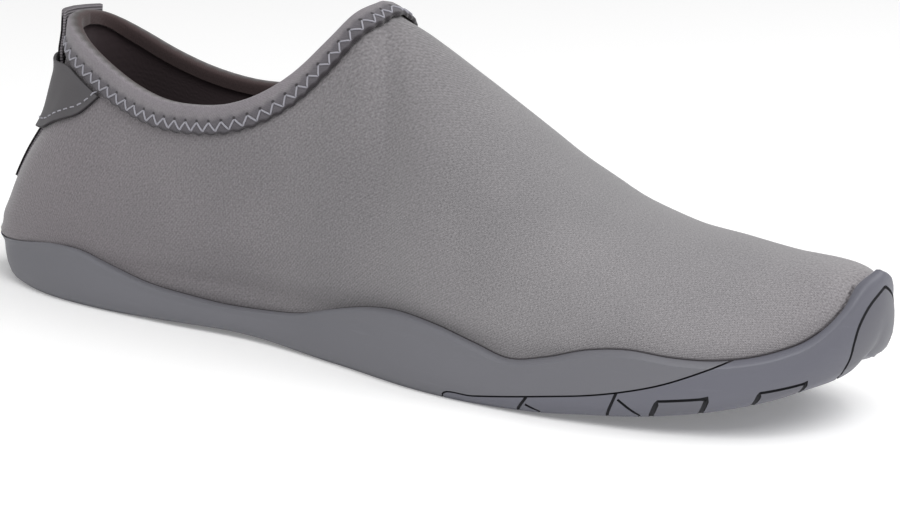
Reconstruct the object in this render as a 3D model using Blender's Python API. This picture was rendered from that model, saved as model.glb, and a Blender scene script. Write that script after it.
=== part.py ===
"""Slip-on water shoe for the right foot, toe along +X, inner side of the foot along +Y."""

import math

import bmesh
import bpy
import numpy as np
from mathutils import Vector
from mathutils.bvhtree import BVHTree

MM = 0.001
LENGTH = 281.0  # outline that the sole side is set in from, heel to toe
BALL_WIDTH = 96.0
THROAT_HEIGHT = 94.8  # upper edge in front of the ankle
THROAT_REACH = 122.2  # heel to the same edge
BUMPER_HEIGHT = 44.2  # top of the sole at the toe tip
TOE_SPRING = 20.4  # lift of the lower edge at the toe tip
ARCH_LIFT = 2.2  # lift of the inner edge under the arch and by the toe
GAP = 0.3  # clearance between pieces that touch in the real shoe
UPPER_WALL = 2.5
BINDING_WALL = 1.1
BINDING_DEPTH = 7.4
THROAT_EASE = 0.6  # more clearance where the collar bends most
TOE_EASE = 0.4  # and where the toe does
PATCH_WALL = 0.8
STRAP_WIDTH = 19.0
STRAP_WALL = 0.9
STRAP_EYE = 0.2  # space between the two strands of the webbing
STRAP_LOOP = 3.4  # crown of the loop above the collar
FLOOR = 5.0  # sole thickness under the foot
HEEL_LIFT = 2.5  # more of it under the heel
INSOLE = 3.0
TREAD_DEPTH = 1.6
MARK_DEPTH = 0.7

ROWS = 48  # samples along each side, heel to toe
THROAT_ROW = 25
SHARES = np.arange(ROWS + 1) / ROWS
RISE = 10  # samples up the upper


def table(names, sizes, rows):
    """Columns of shares by name, each multiplied by its size."""
    columns = zip(names.split(), sizes, zip(*rows))
    return {name: np.array(column) * size for name, size, column in columns}


# Sole outline: shares of LENGTH and of BALL_WIDTH, outer side from the heel to the toe tip.
OUTER_SIDE = table("along across", (LENGTH, BALL_WIDTH), [
    (0, 0), (0.034, -0.205), (0.084, -0.29), (0.1486, -0.345), (0.266, -0.355), (0.3786, -0.34),
    (0.4813, -0.4), (0.5939, -0.485), (0.6868, -0.495), (0.77, -0.47), (0.8581, -0.4),
    (0.9315, -0.27), (0.9804, -0.1), (1, 0.08),
])
# Inner side, from the toe back to the heel.
INNER_SIDE = table("along across", (LENGTH, BALL_WIDTH), [
    (0.9853, 0.25), (0.9315, 0.39), (0.863, 0.46), (0.7749, 0.5), (0.6868, 0.495), (0.5792, 0.42),
    (0.4715, 0.335), (0.3737, 0.3), (0.266, 0.315), (0.1486, 0.335), (0.084, 0.285),
    (0.034, 0.205),
])

# Sole side by share of the way from heel to toe: lower edge, wavy upper edge.
SOLE_EDGE = table("share low top", (1, TOE_SPRING, BUMPER_HEIGHT), [
    (0, 0, 0.2851), (0.05, 0, 0.2828), (0.1, 0, 0.3077), (0.15, 0, 0.362), (0.18, 0, 0.3665),
    (0.217, 0, 0.3032), (0.255, 0.0147, 0.2398), (0.304, 0.0441, 0.2059), (0.342, 0.0588, 0.19),
    (0.381, 0.0441, 0.2059), (0.42, 0.0147, 0.2489), (0.462, 0, 0.3439), (0.5, 0, 0.4118),
    (0.54, 0, 0.4434), (0.584, 0, 0.4231), (0.623, 0.0049, 0.362), (0.655, 0.0245, 0.3122),
    (0.69, 0.0588, 0.3597), (0.729, 0.1275, 0.4434), (0.762, 0.1765, 0.4751),
    (0.8, 0.2598, 0.4593), (0.83, 0.3382, 0.4593), (0.86, 0.4363, 0.4842),
    (0.89, 0.5392, 0.5339), (0.918, 0.6373, 0.6109), (0.945, 0.7108, 0.7466),
    (0.972, 0.8186, 0.9276), (1, 1, 1),
])
# Lift of the lower edge on the inner side only.
INNER_ARCH = table("share lift", (1, ARCH_LIFT), [
    (0, 0), (0.2, 0), (0.28, 0.5455), (0.36, 1), (0.44, 0.5455), (0.52, 0), (0.86, 0),
    (0.89, 0.2), (0.9167, 0.55), (0.9375, 1), (0.958, 1), (0.979, 0.5), (1, 0),
])
# Outer face of the sole wall: set-in from the outline at shares of the wall height.
WALL_FACE = table("height inset", (1, 1), [
    (0, 2.6), (0.09, 0.9), (0.28, 0), (0.62, 0.3), (0.86, 1), (0.94, 0.9), (1, 1.5),
])
# More set-in at the lower and the upper edge round the heel and the toe.
END_LEAN = table("share low high", (1, 1, 1), [
    (0, 3, -3), (0.05, 2.6, -2.6), (0.12, 0, -0.6), (0.2, 0, 0), (0.8, 0, 0), (0.88, 0.4, 0.4),
    (0.95, 3.2, 1.6), (1, 4, 1.8),
])

# Line on which the upper ends: the collar to the throat, then the ridge to the toe.
UPPER_TOP = table("share reach half height", (1, THROAT_REACH, BALL_WIDTH, THROAT_HEIGHT), [
    (0, 0.1538, 0, 0.8333), (0.042, 0.1653, 0.0667, 0.827), (0.083, 0.1964, 0.1208, 0.8059),
    (0.125, 0.2537, 0.1625, 0.7679), (0.167, 0.3437, 0.1958, 0.7152),
    (0.208, 0.4378, 0.2271, 0.6751), (0.25, 0.5401, 0.2594, 0.653),
    (0.292, 0.6383, 0.2812, 0.6572), (0.333, 0.7324, 0.2865, 0.6772),
    (0.375, 0.8175, 0.2698, 0.7236), (0.417, 0.8969, 0.2312, 0.8038),
    (0.4583, 0.9583, 0.1708, 0.9072), (0.4896, 0.9869, 0.1, 0.9768), (0.5208, 1, 0, 1),
])
RIDGE = table("share reach shift height", (1, LENGTH, BALL_WIDTH, THROAT_HEIGHT), [
    (0.5208, 0.4349, 0, 1), (0.55, 0.4719, 0.0062, 0.9536), (0.6, 0.5338, 0.0167, 0.8513),
    (0.65, 0.5907, 0.0271, 0.7489), (0.7, 0.6477, 0.0375, 0.6477), (0.75, 0.7082, 0.0479, 0.5633),
    (0.8, 0.7722, 0.0604, 0.5105), (0.85, 0.8327, 0.0729, 0.4916), (0.9, 0.8826, 0.0813, 0.4758),
    (0.95, 0.9075, 0.0854, 0.4726), (1, 0.911, 0.0854, 0.4705),
])
# How each rib of the upper leaves the sole and arrives at the top line.
RIB_SIZES = (1, BALL_WIDTH, 1, THROAT_HEIGHT, 1, 1, 1, THROAT_HEIGHT)
RIB = table("share inset lean start inward up back finish", RIB_SIZES, [
    (0, 0.0667, 62, 0.2257, -0.06, 1, 0, 0.3586), (0.05, 0.0646, 58, 0.23, 0, 1, 0, 0.3376),
    (0.12, 0.0604, 36, 0.2215, 0.11, 1, 0, 0.2637), (0.2, 0.0542, 15, 0.1899, 0.16, 1, 0, 0.211),
    (0.3, 0.0521, 10, 0.1899, 0.14, 1, 0, 0.211),
    (0.375, 0.0521, 10, 0.2215, 0.3, 0.9, 0.06, 0.2321),
    (0.4375, 0.0531, 12, 0.2637, 0.45, 0.68, 0.26, 0.2426),
    (0.48, 0.0542, 13, 0.2848, 0.6, 0.34, 0.54, 0.2532),
    (0.5208, 0.0563, 14, 0.3059, 0.8, 0, 0.85, 0.2637),
    (0.56, 0.0563, 16, 0.3059, 1, 0, 0.52, 0.2637),
    (0.62, 0.0563, 18, 0.2848, 1, 0, 0.22, 0.2637), (0.7, 0.0563, 20, 0.2426, 1, 0, 0.06, 0.2637),
    (0.8, 0.0604, 20, 0.1899, 1, 0, 0.14, 0.2321), (0.88, 0.0687, 18, 0.1635, 1, 0, 0.42, 0.1899),
    (0.94, 0.0708, 16, 0.1878, 0.85, 0, 0.9, 0.2131), (1, 0.0771, 14, 0.1951, 0, 0, 1, 0.2363),
])
# Swell of the upper over the edge of the sole at the heel, and dent above it.
HEEL_SWELL = table("share low high", (1, 1, 1), [
    (0, 1.2, 1.4), (0.04, 1.3, 1.5), (0.08, 1.2, 1.2), (0.12, 0.8, 0.6), (0.16, 0.3, 0.1),
    (0.2, 0, 0), (1, 0, 0),
])
# Lower edge of the heel patch, from the back seam forward.
PATCH_EDGE = table("share low", (1, THROAT_HEIGHT), [
    (0, 0.4641), (0.0417, 0.4673), (0.0625, 0.4747), (0.0833, 0.4905), (0.1042, 0.5169),
    (0.125, 0.538), (0.1458, 0.5654), (0.1667, 0.6287),
])
PATCH_ROWS = 8
# Lines sunk in the sole side: share of the way round, share of the wall height.
MARKS = [
    [(0.679, 0.32), (0.670, 0.03)],
    [(0.678, 0.17), (0.689, 0.04)],
    [(0.756, 0.42), (0.748, 0.03)],
    [(0.757, 0.30), (0.775, 0.04)],
    [(0.785, 0.03), (0.790, 0.30), (0.830, 0.34), (0.826, 0.03)],
    [(0.869, 0.03), (0.873, 0.31), (0.914, 0.25), (0.911, 0.03)],
    [(0.955, 0.03), (0.954, 0.14), (0.957, 0.27), (0.959, 0.48), (0.964, 0.64), (0.974, 0.735),
     (0.987, 0.79), (1.0, 0.815), (1.013, 0.79), (1.026, 0.735), (1.036, 0.64), (1.041, 0.48),
     (1.043, 0.27), (1.046, 0.14), (1.045, 0.03)],
]
MARK_WIDTHS = [0.8, 0.7, 0.8, 0.7, 1.4, 1.4, 0.9]
# Cross channels of the tread: place, half length, swing.
CHANNELS = table("reach half swing", (LENGTH, BALL_WIDTH, 1), [
    (0.0854, 0.1771, 5), (0.1246, 0.2188, -5), (0.1637, 0.2292, 5), (0.2028, 0.2188, -5),
    (0.4875, 0.2604, -6), (0.5302, 0.3021, 6), (0.573, 0.3333, -6), (0.6619, 0.3542, 6),
    (0.7011, 0.3542, -6), (0.7402, 0.3438, 6),
])
CHANNEL_WIDTH = 3.0


def smooth(data, key, name, at):
    """Read a table column between its rows along a smooth curve."""
    xs, ys = data[key], data[name]
    slopes = np.gradient(ys, xs)
    at = np.clip(at, xs[0], xs[-1])
    i = np.clip(np.searchsorted(xs, at) - 1, 0, len(xs) - 2)
    step = xs[i + 1] - xs[i]
    t = (at - xs[i]) / step
    start = ys[i] * (1 + 2 * t) * (1 - t) ** 2 + slopes[i] * step * t * (1 - t) ** 2
    end = ys[i + 1] * t * t * (3 - 2 * t) + slopes[i + 1] * step * t * t * (t - 1)
    return start + end


def unit(v):
    return v / np.linalg.norm(v, axis=-1, keepdims=True)


def outline_sides():
    """Points and outward normals of the sole outline at SHARES: outer side, inner side."""
    along = np.r_[OUTER_SIDE["along"], INNER_SIDE["along"]]
    across = np.r_[OUTER_SIDE["across"], INNER_SIDE["across"]]
    knots = np.column_stack([along, across])
    toe = len(OUTER_SIDE["along"]) - 1
    count = len(knots)
    ring = np.vstack([knots[-4:], knots, knots[:5]])
    chord = np.sqrt(np.linalg.norm(np.diff(ring, axis=0), axis=1))
    where = np.r_[0, np.cumsum(chord)]
    data = {"t": where, "x": ring[:, 0], "y": ring[:, 1]}
    sides = []
    for first, last in ((4, 4 + toe), (4 + count, 4 + toe)):
        t = np.linspace(where[first], where[last], 1500)
        path = np.column_stack([smooth(data, "t", "x", t), smooth(data, "t", "y", t)])
        length = np.r_[0, np.cumsum(np.linalg.norm(np.diff(path, axis=0), axis=1))]
        wanted = SHARES * length[-1]
        tangent = unit(np.gradient(path, axis=0))
        turn = 1.0 if last > first else -1.0
        normal = np.column_stack([tangent[:, 1], -tangent[:, 0]]) * turn
        points = np.column_stack([np.interp(wanted, length, path[:, k]) for k in (0, 1)])
        normals = np.column_stack([np.interp(wanted, length, normal[:, k]) for k in (0, 1)])
        sides.append((points, unit(normals)))
    return sides


def loop(outer, inner):
    """Join two heel-to-toe rows into one ring that starts at the heel."""
    return np.concatenate([outer, inner[-2:0:-1]])


SIDES = outline_sides()
PLAN = loop(SIDES[0][0], SIDES[1][0])
OUTWARD = loop(SIDES[0][1], SIDES[1][1])
RING_SHARE = loop(SHARES, SHARES)
INNER_RING = np.arange(2 * ROWS) > ROWS


def sole_low():
    lift = np.where(INNER_RING, smooth(INNER_ARCH, "share", "lift", RING_SHARE), 0.0)
    return np.maximum(smooth(SOLE_EDGE, "share", "low", RING_SHARE) + lift, 0.0)


def sole_top():
    return smooth(SOLE_EDGE, "share", "top", RING_SHARE)


def floor_height():
    heel = np.clip((0.42 - RING_SHARE) / 0.24, 0.0, 1.0)
    return sole_low() + FLOOR + HEEL_LIFT * heel * heel * (3 - 2 * heel)


def upper_top_line():
    """End points of the ribs and the directions in which they arrive, as rings."""
    ends, arrivals = [], []
    for index, side in ((0, -1.0), (1, 1.0)):
        inward = -SIDES[index][1]
        point = np.zeros((ROWS + 1, 3))
        collar = slice(0, THROAT_ROW + 1)
        point[collar, 0] = smooth(UPPER_TOP, "share", "reach", SHARES[collar])
        point[collar, 1] = side * smooth(UPPER_TOP, "share", "half", SHARES[collar])
        point[collar, 2] = smooth(UPPER_TOP, "share", "height", SHARES[collar])
        ridge = slice(THROAT_ROW, ROWS + 1)
        point[ridge, 0] = smooth(RIDGE, "share", "reach", SHARES[ridge])
        point[ridge, 1] = smooth(RIDGE, "share", "shift", SHARES[ridge])
        point[ridge, 2] = smooth(RIDGE, "share", "height", SHARES[ridge])
        turn = smooth(RIB, "share", "inward", SHARES)
        back = smooth(RIB, "share", "back", SHARES)
        arrive = np.zeros((ROWS + 1, 3))
        low = np.clip(SHARES / SHARES[THROAT_ROW], 0, 1) ** 3
        arrive[:, 0] = inward[:, 0] * turn * (1 - low)
        arrive[:, 1] = (inward[:, 1] * (1 - low) - side * low) * turn
        slope = unit(np.gradient(point[ridge][:-4], axis=0))
        slope = np.vstack([slope, np.repeat(slope[-1:], 4, axis=0)])
        slope[:, 1] = 0
        steep = np.repeat(slope[:1], THROAT_ROW, axis=0)
        arrive -= np.vstack([steep, slope]) * back[:, None]
        arrive[:, 2] += smooth(RIB, "share", "up", SHARES)
        ends.append(point)
        arrivals.append(unit(arrive))
    return loop(*ends), loop(*arrivals)


def upper_ribs():
    """Outer face of the upper as ribs from the sole floor to the top line."""
    top, arrive = upper_top_line()
    inset = smooth(RIB, "share", "inset", RING_SHARE)[:, None]
    lean = np.radians(smooth(RIB, "share", "lean", RING_SHARE))[:, None]
    foot = np.column_stack([PLAN - OUTWARD * inset, floor_height() + GAP])
    leave = np.column_stack([OUTWARD * np.sin(lean), np.cos(lean)])
    start = smooth(RIB, "share", "start", RING_SHARE)[:, None]
    finish = smooth(RIB, "share", "finish", RING_SHARE)[:, None]
    t = np.linspace(0, 1, RISE * 4 + 1)[:, None, None]
    a, b, c, d = foot, foot + leave * start, top - arrive * finish, top
    ribs = a * (1 - t) ** 3 + 3 * b * t * (1 - t) ** 2 + 3 * c * t * t * (1 - t) + d * t ** 3
    push = swell("low", t, 0.22, 0.075) - swell("high", t, 0.67, 0.1)
    ribs += np.column_stack([OUTWARD, np.zeros(len(OUTWARD))]) * push
    return ribs.transpose(1, 0, 2)


def swell(name, t, centre, width):
    """Rounded bump along the ribs, as large as the heel table says."""
    amount = smooth(HEEL_SWELL, "share", name, RING_SHARE)[:, None]
    return amount * np.exp(-(((t - centre) / width) ** 2))


RIBS = upper_ribs()


def rib_at_height(height):
    """Point of each rib at a height low on the shoe."""
    points = []
    for rib, z in zip(RIBS, height):
        low = rib[: RISE * 2 + 1]
        points.append([np.interp(z, low[:, 2], low[:, 0]), np.interp(z, low[:, 2], low[:, 1])])
    return np.array(points)


def mesh_object(name, points, faces, color, rough=0.8):
    mesh = bpy.data.meshes.new(name)
    mesh.from_pydata([tuple((np.array(p) - CENTRE) * MM) for p in points], [], faces)
    bm = bmesh.new()
    bm.from_mesh(mesh)
    bmesh.ops.remove_doubles(bm, verts=bm.verts, dist=1e-6)
    bmesh.ops.dissolve_degenerate(bm, edges=bm.edges, dist=1e-7)
    bmesh.ops.recalc_face_normals(bm, faces=bm.faces)
    bm.to_mesh(mesh)
    bm.free()
    obj = bpy.data.objects.new(name, mesh)
    bpy.context.collection.objects.link(obj)
    if color:
        mesh.materials.append(plain_material(name, color, rough))
    return obj


def plain_material(name, color, rough):
    material = bpy.data.materials.new(name)
    material.use_nodes = True
    shader = material.node_tree.nodes["Principled BSDF"]
    shader.inputs["Base Color"].default_value = (*color, 1.0)
    shader.inputs["Roughness"].default_value = rough
    return material


def stack(rings, bottom, top):
    """Solid from rings of equal count, closed by ladder caps between the two sides."""
    count = len(rings[0])
    points = [p for ring in rings for p in ring]
    faces = []
    for k in range(len(rings) - 1):
        a, b = k * count, (k + 1) * count
        faces += [(a + j, a + (j + 1) % count, b + (j + 1) % count, b + j) for j in range(count)]
    for base, across in ((0, bottom), ((len(rings) - 1) * count, top)):
        ladder(points, faces, base, count, across)
    return points, faces


def ladder(points, faces, base, count, across):
    """Cap a ring with rungs from each outer-side point to its inner-side partner."""
    half = count // 2
    rungs = []
    for j in range(half + 1):
        left, right = base + j, base + (count - j) % count
        if left == right:
            rungs.append([left] * (across + 1))
            continue
        first = len(points)
        for k in range(1, across):
            points.append(points[left] + (points[right] - points[left]) * k / across)
        rungs.append([left, *range(first, first + across - 1), right])
    for low, high in zip(rungs, rungs[1:]):
        for k in range(across):
            quad = [low[k], high[k], high[k + 1], low[k + 1]]
            corners = [v for i, v in enumerate(quad) if v != quad[i - 1]]
            faces.append(tuple(corners))


def wall_point(share_height):
    """Ring on the outer face of the sole wall at a share of its height."""
    low, top = sole_low(), sole_top()
    height = low + (top - low) * share_height
    inset = smooth(WALL_FACE, "height", "inset", np.full(len(height), share_height))
    inset = inset + smooth(END_LEAN, "share", "low", RING_SHARE) * (1 - share_height) ** 2
    inset = inset + smooth(END_LEAN, "share", "high", RING_SHARE) * share_height ** 2
    plan = PLAN - OUTWARD * inset[:, None]
    rib = rib_at_height(np.maximum(height, floor_height() + GAP))
    spare = np.sum((plan - rib) * OUTWARD, axis=1)
    plan = plan + OUTWARD * np.clip(GAP + 1.1 - spare, 0, None)[:, None]
    return np.column_stack([plan, height])


def sole_rings():
    low, top, floor = sole_low(), sole_top(), floor_height()
    inset = smooth(WALL_FACE, "height", "inset", np.zeros(1))[0]
    lean = smooth(END_LEAN, "share", "low", RING_SHARE)[:, None]
    rings = [np.column_stack([PLAN - OUTWARD * (inset + lean + 4.0), low])]
    rings += [wall_point(h) for h in (0.0, 0.09, 0.28, 0.62, 0.9, 1.0)]
    clear = GAP + TOE_EASE * np.clip((RING_SHARE - 0.9) / 0.06, 0.0, 1.0)
    brink = np.maximum(top - 1.2, floor + 0.5)
    for height in (np.maximum(top - 0.25, floor + 0.5), brink, brink * 0.64 + floor * 0.36,
                   brink * 0.3 + floor * 0.7, floor):
        plan = rib_at_height(np.maximum(height, floor + GAP)) + OUTWARD * clear[:, None]
        rings.append(np.column_stack([plan, height]))
    return rings


def box_centre():
    """Middle of the sole seen from above, at floor height."""
    rings = np.vstack(sole_rings())
    middle = (rings.min(axis=0) + rings.max(axis=0)) / 2
    return np.array([middle[0], middle[1], 0.0])


def sole_solid(name, color):
    points, faces = stack(sole_rings(), 2, 2)
    return mesh_object(name, points, faces, color)


# Side view of the joint between midsole and forefoot rubber.
JOINT = table("reach height", (LENGTH, BUMPER_HEIGHT), [
    (0.6228, -0.0679), (0.6263, 0.0271), (0.6619, 0.0656), (0.7011, 0.1086), (0.7402, 0.1538),
    (0.7794, 0.1991), (0.8149, 0.2557), (0.8452, 0.319), (0.8719, 0.3959), (0.9004, 0.4977),
    (0.9324, 0.6787), (0.968, 1.3575),
])


def joint_block(name, shift):
    """Prism over everything in front of and below the joint, moved forward by shift."""
    line = np.column_stack([JOINT["reach"], JOINT["height"]])
    normal = unit(np.gradient(line, axis=0))
    line = line + np.column_stack([normal[:, 1], -normal[:, 0]]) * shift
    front = np.array([(LENGTH * 1.15, BUMPER_HEIGHT * 1.36), (LENGTH * 1.15, -BUMPER_HEIGHT * 0.068)])
    section = np.vstack([line, front])
    count = len(section)
    points = [np.array([x, y, z]) for y in (-BALL_WIDTH, BALL_WIDTH) for x, z in section]
    faces = [(j, (j + 1) % count, count + (j + 1) % count, count + j) for j in range(count)]
    faces += [tuple(range(count)), tuple(range(count, 2 * count))]
    cutter = mesh_object(name, points, faces, None)
    return hidden(cutter)


def hidden(cutter):
    cutter.hide_render = True
    cutter.display_type = "WIRE"
    return cutter


def boolean(obj, cutter, operation):
    modifier = obj.modifiers.new(cutter.name, "BOOLEAN")
    modifier.operation = operation
    modifier.solver = "EXACT"
    modifier.object = cutter


def upper():
    """Hollow sock-like body: ribs as quads, thickened inward."""
    pick = RIBS[:, ::4]
    count, steps = pick.shape[:2]
    points = [p for rib in pick for p in rib]
    faces = []
    for j in range(count):
        k = (j + 1) % count
        for i in range(steps - 1):
            quad = (j * steps + i, k * steps + i, k * steps + i + 1, j * steps + i + 1)
            faces.append(quad)
    obj = mesh_object("upper", points, faces, (0.22, 0.205, 0.22))
    thicken(obj, UPPER_WALL, -1.0)
    return obj


def thicken(obj, depth, offset):
    modifier = obj.modifiers.new("wall", "SOLIDIFY")
    modifier.thickness = depth * MM
    modifier.offset = offset


def insole():
    floor = floor_height()
    lean = np.radians(smooth(RIB, "share", "lean", RING_SHARE))
    wall = (UPPER_WALL + GAP) / np.cos(lean)
    rings = []
    for height, inset in ((GAP, 0.7), (0.8, 0.0), (INSOLE - 0.8, 0.0), (INSOLE, 0.8)):
        level = floor + height
        plan = rib_at_height(np.maximum(level, floor + GAP))
        plan = plan - OUTWARD * (wall + 0.5 + inset)[:, None]
        rings.append(np.column_stack([plan, level]))
    points, faces = stack(rings, 2, 2)
    return mesh_object("insole", points, faces, (0.045, 0.04, 0.045))


def rib_normals(rows):
    """Outward normals of the upper along some of its ribs."""
    around = RIBS[rows + 1] - RIBS[rows - 1]
    rise = np.gradient(RIBS[rows], axis=1)
    normals = unit(np.cross(around, rise))
    sign = np.sign(np.sum(normals[:, 4, :2] * OUTWARD[rows], axis=1))
    return normals * sign[:, None, None]


def surface_tree():
    """Search tree over the outer face of the upper."""
    grid = RIBS[:, ::4]
    count, steps = grid.shape[:2]
    faces = []
    for j in range(count):
        k = (j + 1) % count
        faces += [
            (j * steps + i, k * steps + i, k * steps + i + 1, j * steps + i + 1)
            for i in range(steps - 1)
        ]
    return BVHTree.FromPolygons([Vector(p) for rib in grid for p in rib], faces)


def collar_loop():
    """Upper edge of the upper, from the heel round the throat and back."""
    outer = RIBS[: THROAT_ROW + 1, -1]
    inner = RIBS[: -THROAT_ROW : -1, -1]
    return np.concatenate([outer, inner[::-1]])


def collar_frames(depths):
    """Per collar point: surface points at depths below the edge, their normals, the rise."""
    tree = surface_tree()
    edge = collar_loop()
    along = unit(np.roll(edge, -1, axis=0) - np.roll(edge, 1, axis=0))
    centre = edge.mean(axis=0)
    frames = []
    for point, run in zip(edge, along):
        flat = unit((point - centre) * [1, 1, 0])
        down = unit(np.cross(run, np.cross([0, 0, -1.0], run)) + 0.15 * flat)
        place, depth, found = point, 0.0, []
        for wanted in depths:
            reach = place + down * (wanted - depth)
            hit, normal = (np.array(v) for v in tree.find_nearest(Vector(reach))[:2])
            normal = normal * np.sign(np.dot(normal, outward_at(hit)))
            if wanted - depth > 1.0:
                down = unit(hit - place)
            place, depth = hit, wanted
            found.append((hit, normal))
        frames.append((point, found))
    normals = np.array([[normal for _, normal in found] for _, found in frames])
    normals = unit(np.roll(normals, 1, axis=0) + 2 * normals + np.roll(normals, -1, axis=0))
    return [
        (point, [(hit, n) for (hit, _), n in zip(found, row)])
        for (point, found), row in zip(frames, normals)
    ]


def outward_at(place):
    """Rough outward direction of the upper near its collar."""
    return unit(place - np.array([THROAT_REACH * 0.62, 0.0, THROAT_HEIGHT * 0.63]))


def collar_binding():
    """Folded band over the collar edge."""
    inside = UPPER_WALL + 2 * GAP
    deep = inside + BINDING_WALL
    sections = []
    for point, found in collar_frames((0.8, 3.4, 5.6, BINDING_DEPTH)):
        (near, n0), (mid, n1), (low, n2), (far, n3) = found
        up = unit(point - mid)
        top = point - n0 * UPPER_WALL / 2
        ease = GAP + THROAT_EASE * np.clip((point[0] - 0.84 * THROAT_REACH) / 14.0, 0.0, 1.0)
        full = ease + BINDING_WALL
        shoulder = 0.65 * BINDING_WALL
        sections.append([
            far + n3 * ease, far + n3 * (full - 0.35), far + up * 0.7 + n3 * full,
            low + n2 * full, mid + n1 * full, near + n0 * full,
            point + n0 * (ease + shoulder) + up * (GAP + shoulder),
            top + up * (GAP + BINDING_WALL),
            point - n0 * (inside + shoulder) + up * (GAP + shoulder),
            near - n0 * deep, mid - n1 * deep,
            mid - up * 2.0 - n1 * deep, mid - up * 2.0 - n1 * inside,
            mid - n1 * inside, near - n0 * inside,
            point - n0 * inside + up * GAP, point + n0 * ease + up * GAP,
            near + n0 * ease, mid + n1 * ease, low + n2 * ease,
        ])
    count, around = len(sections), len(sections[0])
    faces = []
    for j in range(count):
        k = (j + 1) % count
        for i in range(around):
            n = (i + 1) % around
            faces.append((j * around + i, k * around + i, k * around + n, j * around + n))
    points = [p for section in sections for p in section]
    return mesh_object("collar_binding", points, faces, (0.26, 0.235, 0.25))


def sheet(name, grid, normals, near, far, color):
    """Solid between two offsets of a grid of surface points."""
    rows, columns = grid.shape[:2]
    points = list((grid + normals * near).reshape(-1, 3))
    points += list((grid + normals * far).reshape(-1, 3))
    layer = rows * columns
    faces = []
    for r in range(rows - 1):
        for c in range(columns - 1):
            a, b = r * columns + c, (r + 1) * columns + c
            faces += [(a, b, b + 1, a + 1), (layer + a, layer + a + 1, layer + b + 1, layer + b)]
    border = [c for c in range(columns)]
    border += [r * columns + columns - 1 for r in range(1, rows)]
    border += [(rows - 1) * columns + c for c in range(columns - 2, -1, -1)]
    border += [r * columns for r in range(rows - 2, 0, -1)]
    for a, b in zip(border, border[1:] + border[:1]):
        faces.append((a, b, layer + b, layer + a))
    return mesh_object(name, points, faces, color)


# Distances across the heel at which the patch is laid over the webbing, in webbing widths.
PATCH_STEPS = table("across cover", (STRAP_WIDTH, 1), [
    (-0.74, 0), (-0.55, 1), (-0.28, 1), (0, 1), (0.28, 1), (0.55, 1), (0.74, 0),
])


def strap_lift(height):
    """Clearance of the webbing: close to the upper low down, outside the binding above."""
    edge = UPPER_TOP["height"][0]
    t = np.clip((height - 0.785 * edge) / (0.095 * edge), 0.0, 1.0)
    return 1.5 * GAP + (BINDING_WALL + GAP) * t * t * (3 - 2 * t)


def between(grid, place):
    """Row of a grid at a place between two of its rows."""
    low = min(math.floor(place), len(grid) - 2)
    blend = place - low
    return grid[low] * (1 - blend) + grid[low + 1] * blend


def patch_field():
    """Points and normals under the heel patch, rib by rib from its lower edge to its top."""
    every = np.arange(-PATCH_ROWS, PATCH_ROWS + 1)
    points, normals = [], []
    for row, rib, normal in zip(every, RIBS[every], rib_normals(every)):
        length = np.r_[0, np.cumsum(np.linalg.norm(np.diff(rib, axis=0), axis=1))]
        low = np.interp(smooth(PATCH_EDGE, "share", "low", abs(row) / ROWS), rib[:, 2], length)
        top = length[-1] - BINDING_DEPTH - 1.3
        side = np.interp(top, length, rib[:, 1])
        cover = np.interp(side, PATCH_STEPS["across"], PATCH_STEPS["cover"])
        where = np.linspace(low, top - 3.0 * cover, 6)
        points.append(np.array([np.interp(where, length, rib[:, k]) for k in range(3)]).T)
        normals.append(np.array([np.interp(where, length, normal[:, k]) for k in range(3)]).T)
    return np.array(points), np.array(normals)


def heel_patch():
    """Overlay on the heel, from near the binding down to a curved edge, over the webbing."""
    field, leaning = patch_field()
    last = len(field) - 1
    spread = np.array([0.0, 0.3, 0.55, 0.75, 0.9])
    grid, lifted = [], []
    for level in range(field.shape[1]):
        places = np.interp(PATCH_STEPS["across"], -field[:, level, 1], np.arange(last + 1))
        places = np.r_[spread * places[0], places, last - (spread * (last - places[-1]))[::-1]]
        grid.append([between(field[:, level], place) for place in places])
        lifted.append([between(leaning[:, level], place) for place in places])
    grid = np.array(grid).transpose(1, 0, 2)
    cover = np.interp(grid[..., 1], PATCH_STEPS["across"], PATCH_STEPS["cover"])
    near = 1.5 * GAP + cover * (2 * STRAP_WALL + STRAP_EYE + strap_lift(grid[..., 2]))
    normals = unit(np.array(lifted).transpose(1, 0, 2))
    return sheet("heel_patch", grid, normals, near[..., None], near[..., None] + PATCH_WALL,
                 (0.105, 0.1, 0.108))


def pull_strap():
    """Doubled webbing up the back of the heel, with a loop above the collar."""
    tree = surface_tree()
    edge = UPPER_TOP["height"][0]
    across = np.linspace(-STRAP_WIDTH / 2, STRAP_WIDTH / 2, 5)
    strips = []
    for y in across:
        back, front = [], []
        for z in np.linspace(0.392 * edge, 0.945 * edge, 8):
            start = Vector((-LENGTH / 4, y, z))
            hit = tree.ray_cast(start, Vector((1.0, 0.0, 0.0)))
            away = np.array(flat_out(hit[1]))
            lift = strap_lift(z) / max(abs(np.dot(away, hit[1])), 0.5) + STRAP_WALL
            front.append(np.array(hit[0]) + away * lift)
            back.append(np.array(hit[0]) + away * (lift + STRAP_EYE))
        strips.append(strap_line(np.array(back), np.array(front[::-1])))
    grid = np.array(strips).transpose(1, 0, 2)
    run = np.gradient(grid, axis=0)
    normals = unit(np.column_stack([-run[..., 2].ravel(), np.zeros(run[..., 0].size),
                                    run[..., 0].ravel()])).reshape(grid.shape)
    return sheet("pull_strap", grid, normals, 0.0, STRAP_WALL, (0.03, 0.028, 0.033))


def flat_out(normal):
    """Outward direction in the plane of the side view."""
    direction = unit(np.array([normal[0], 0.0, normal[2]]))
    return direction * (1.0 if direction[0] < 0 else -1.0)


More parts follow.
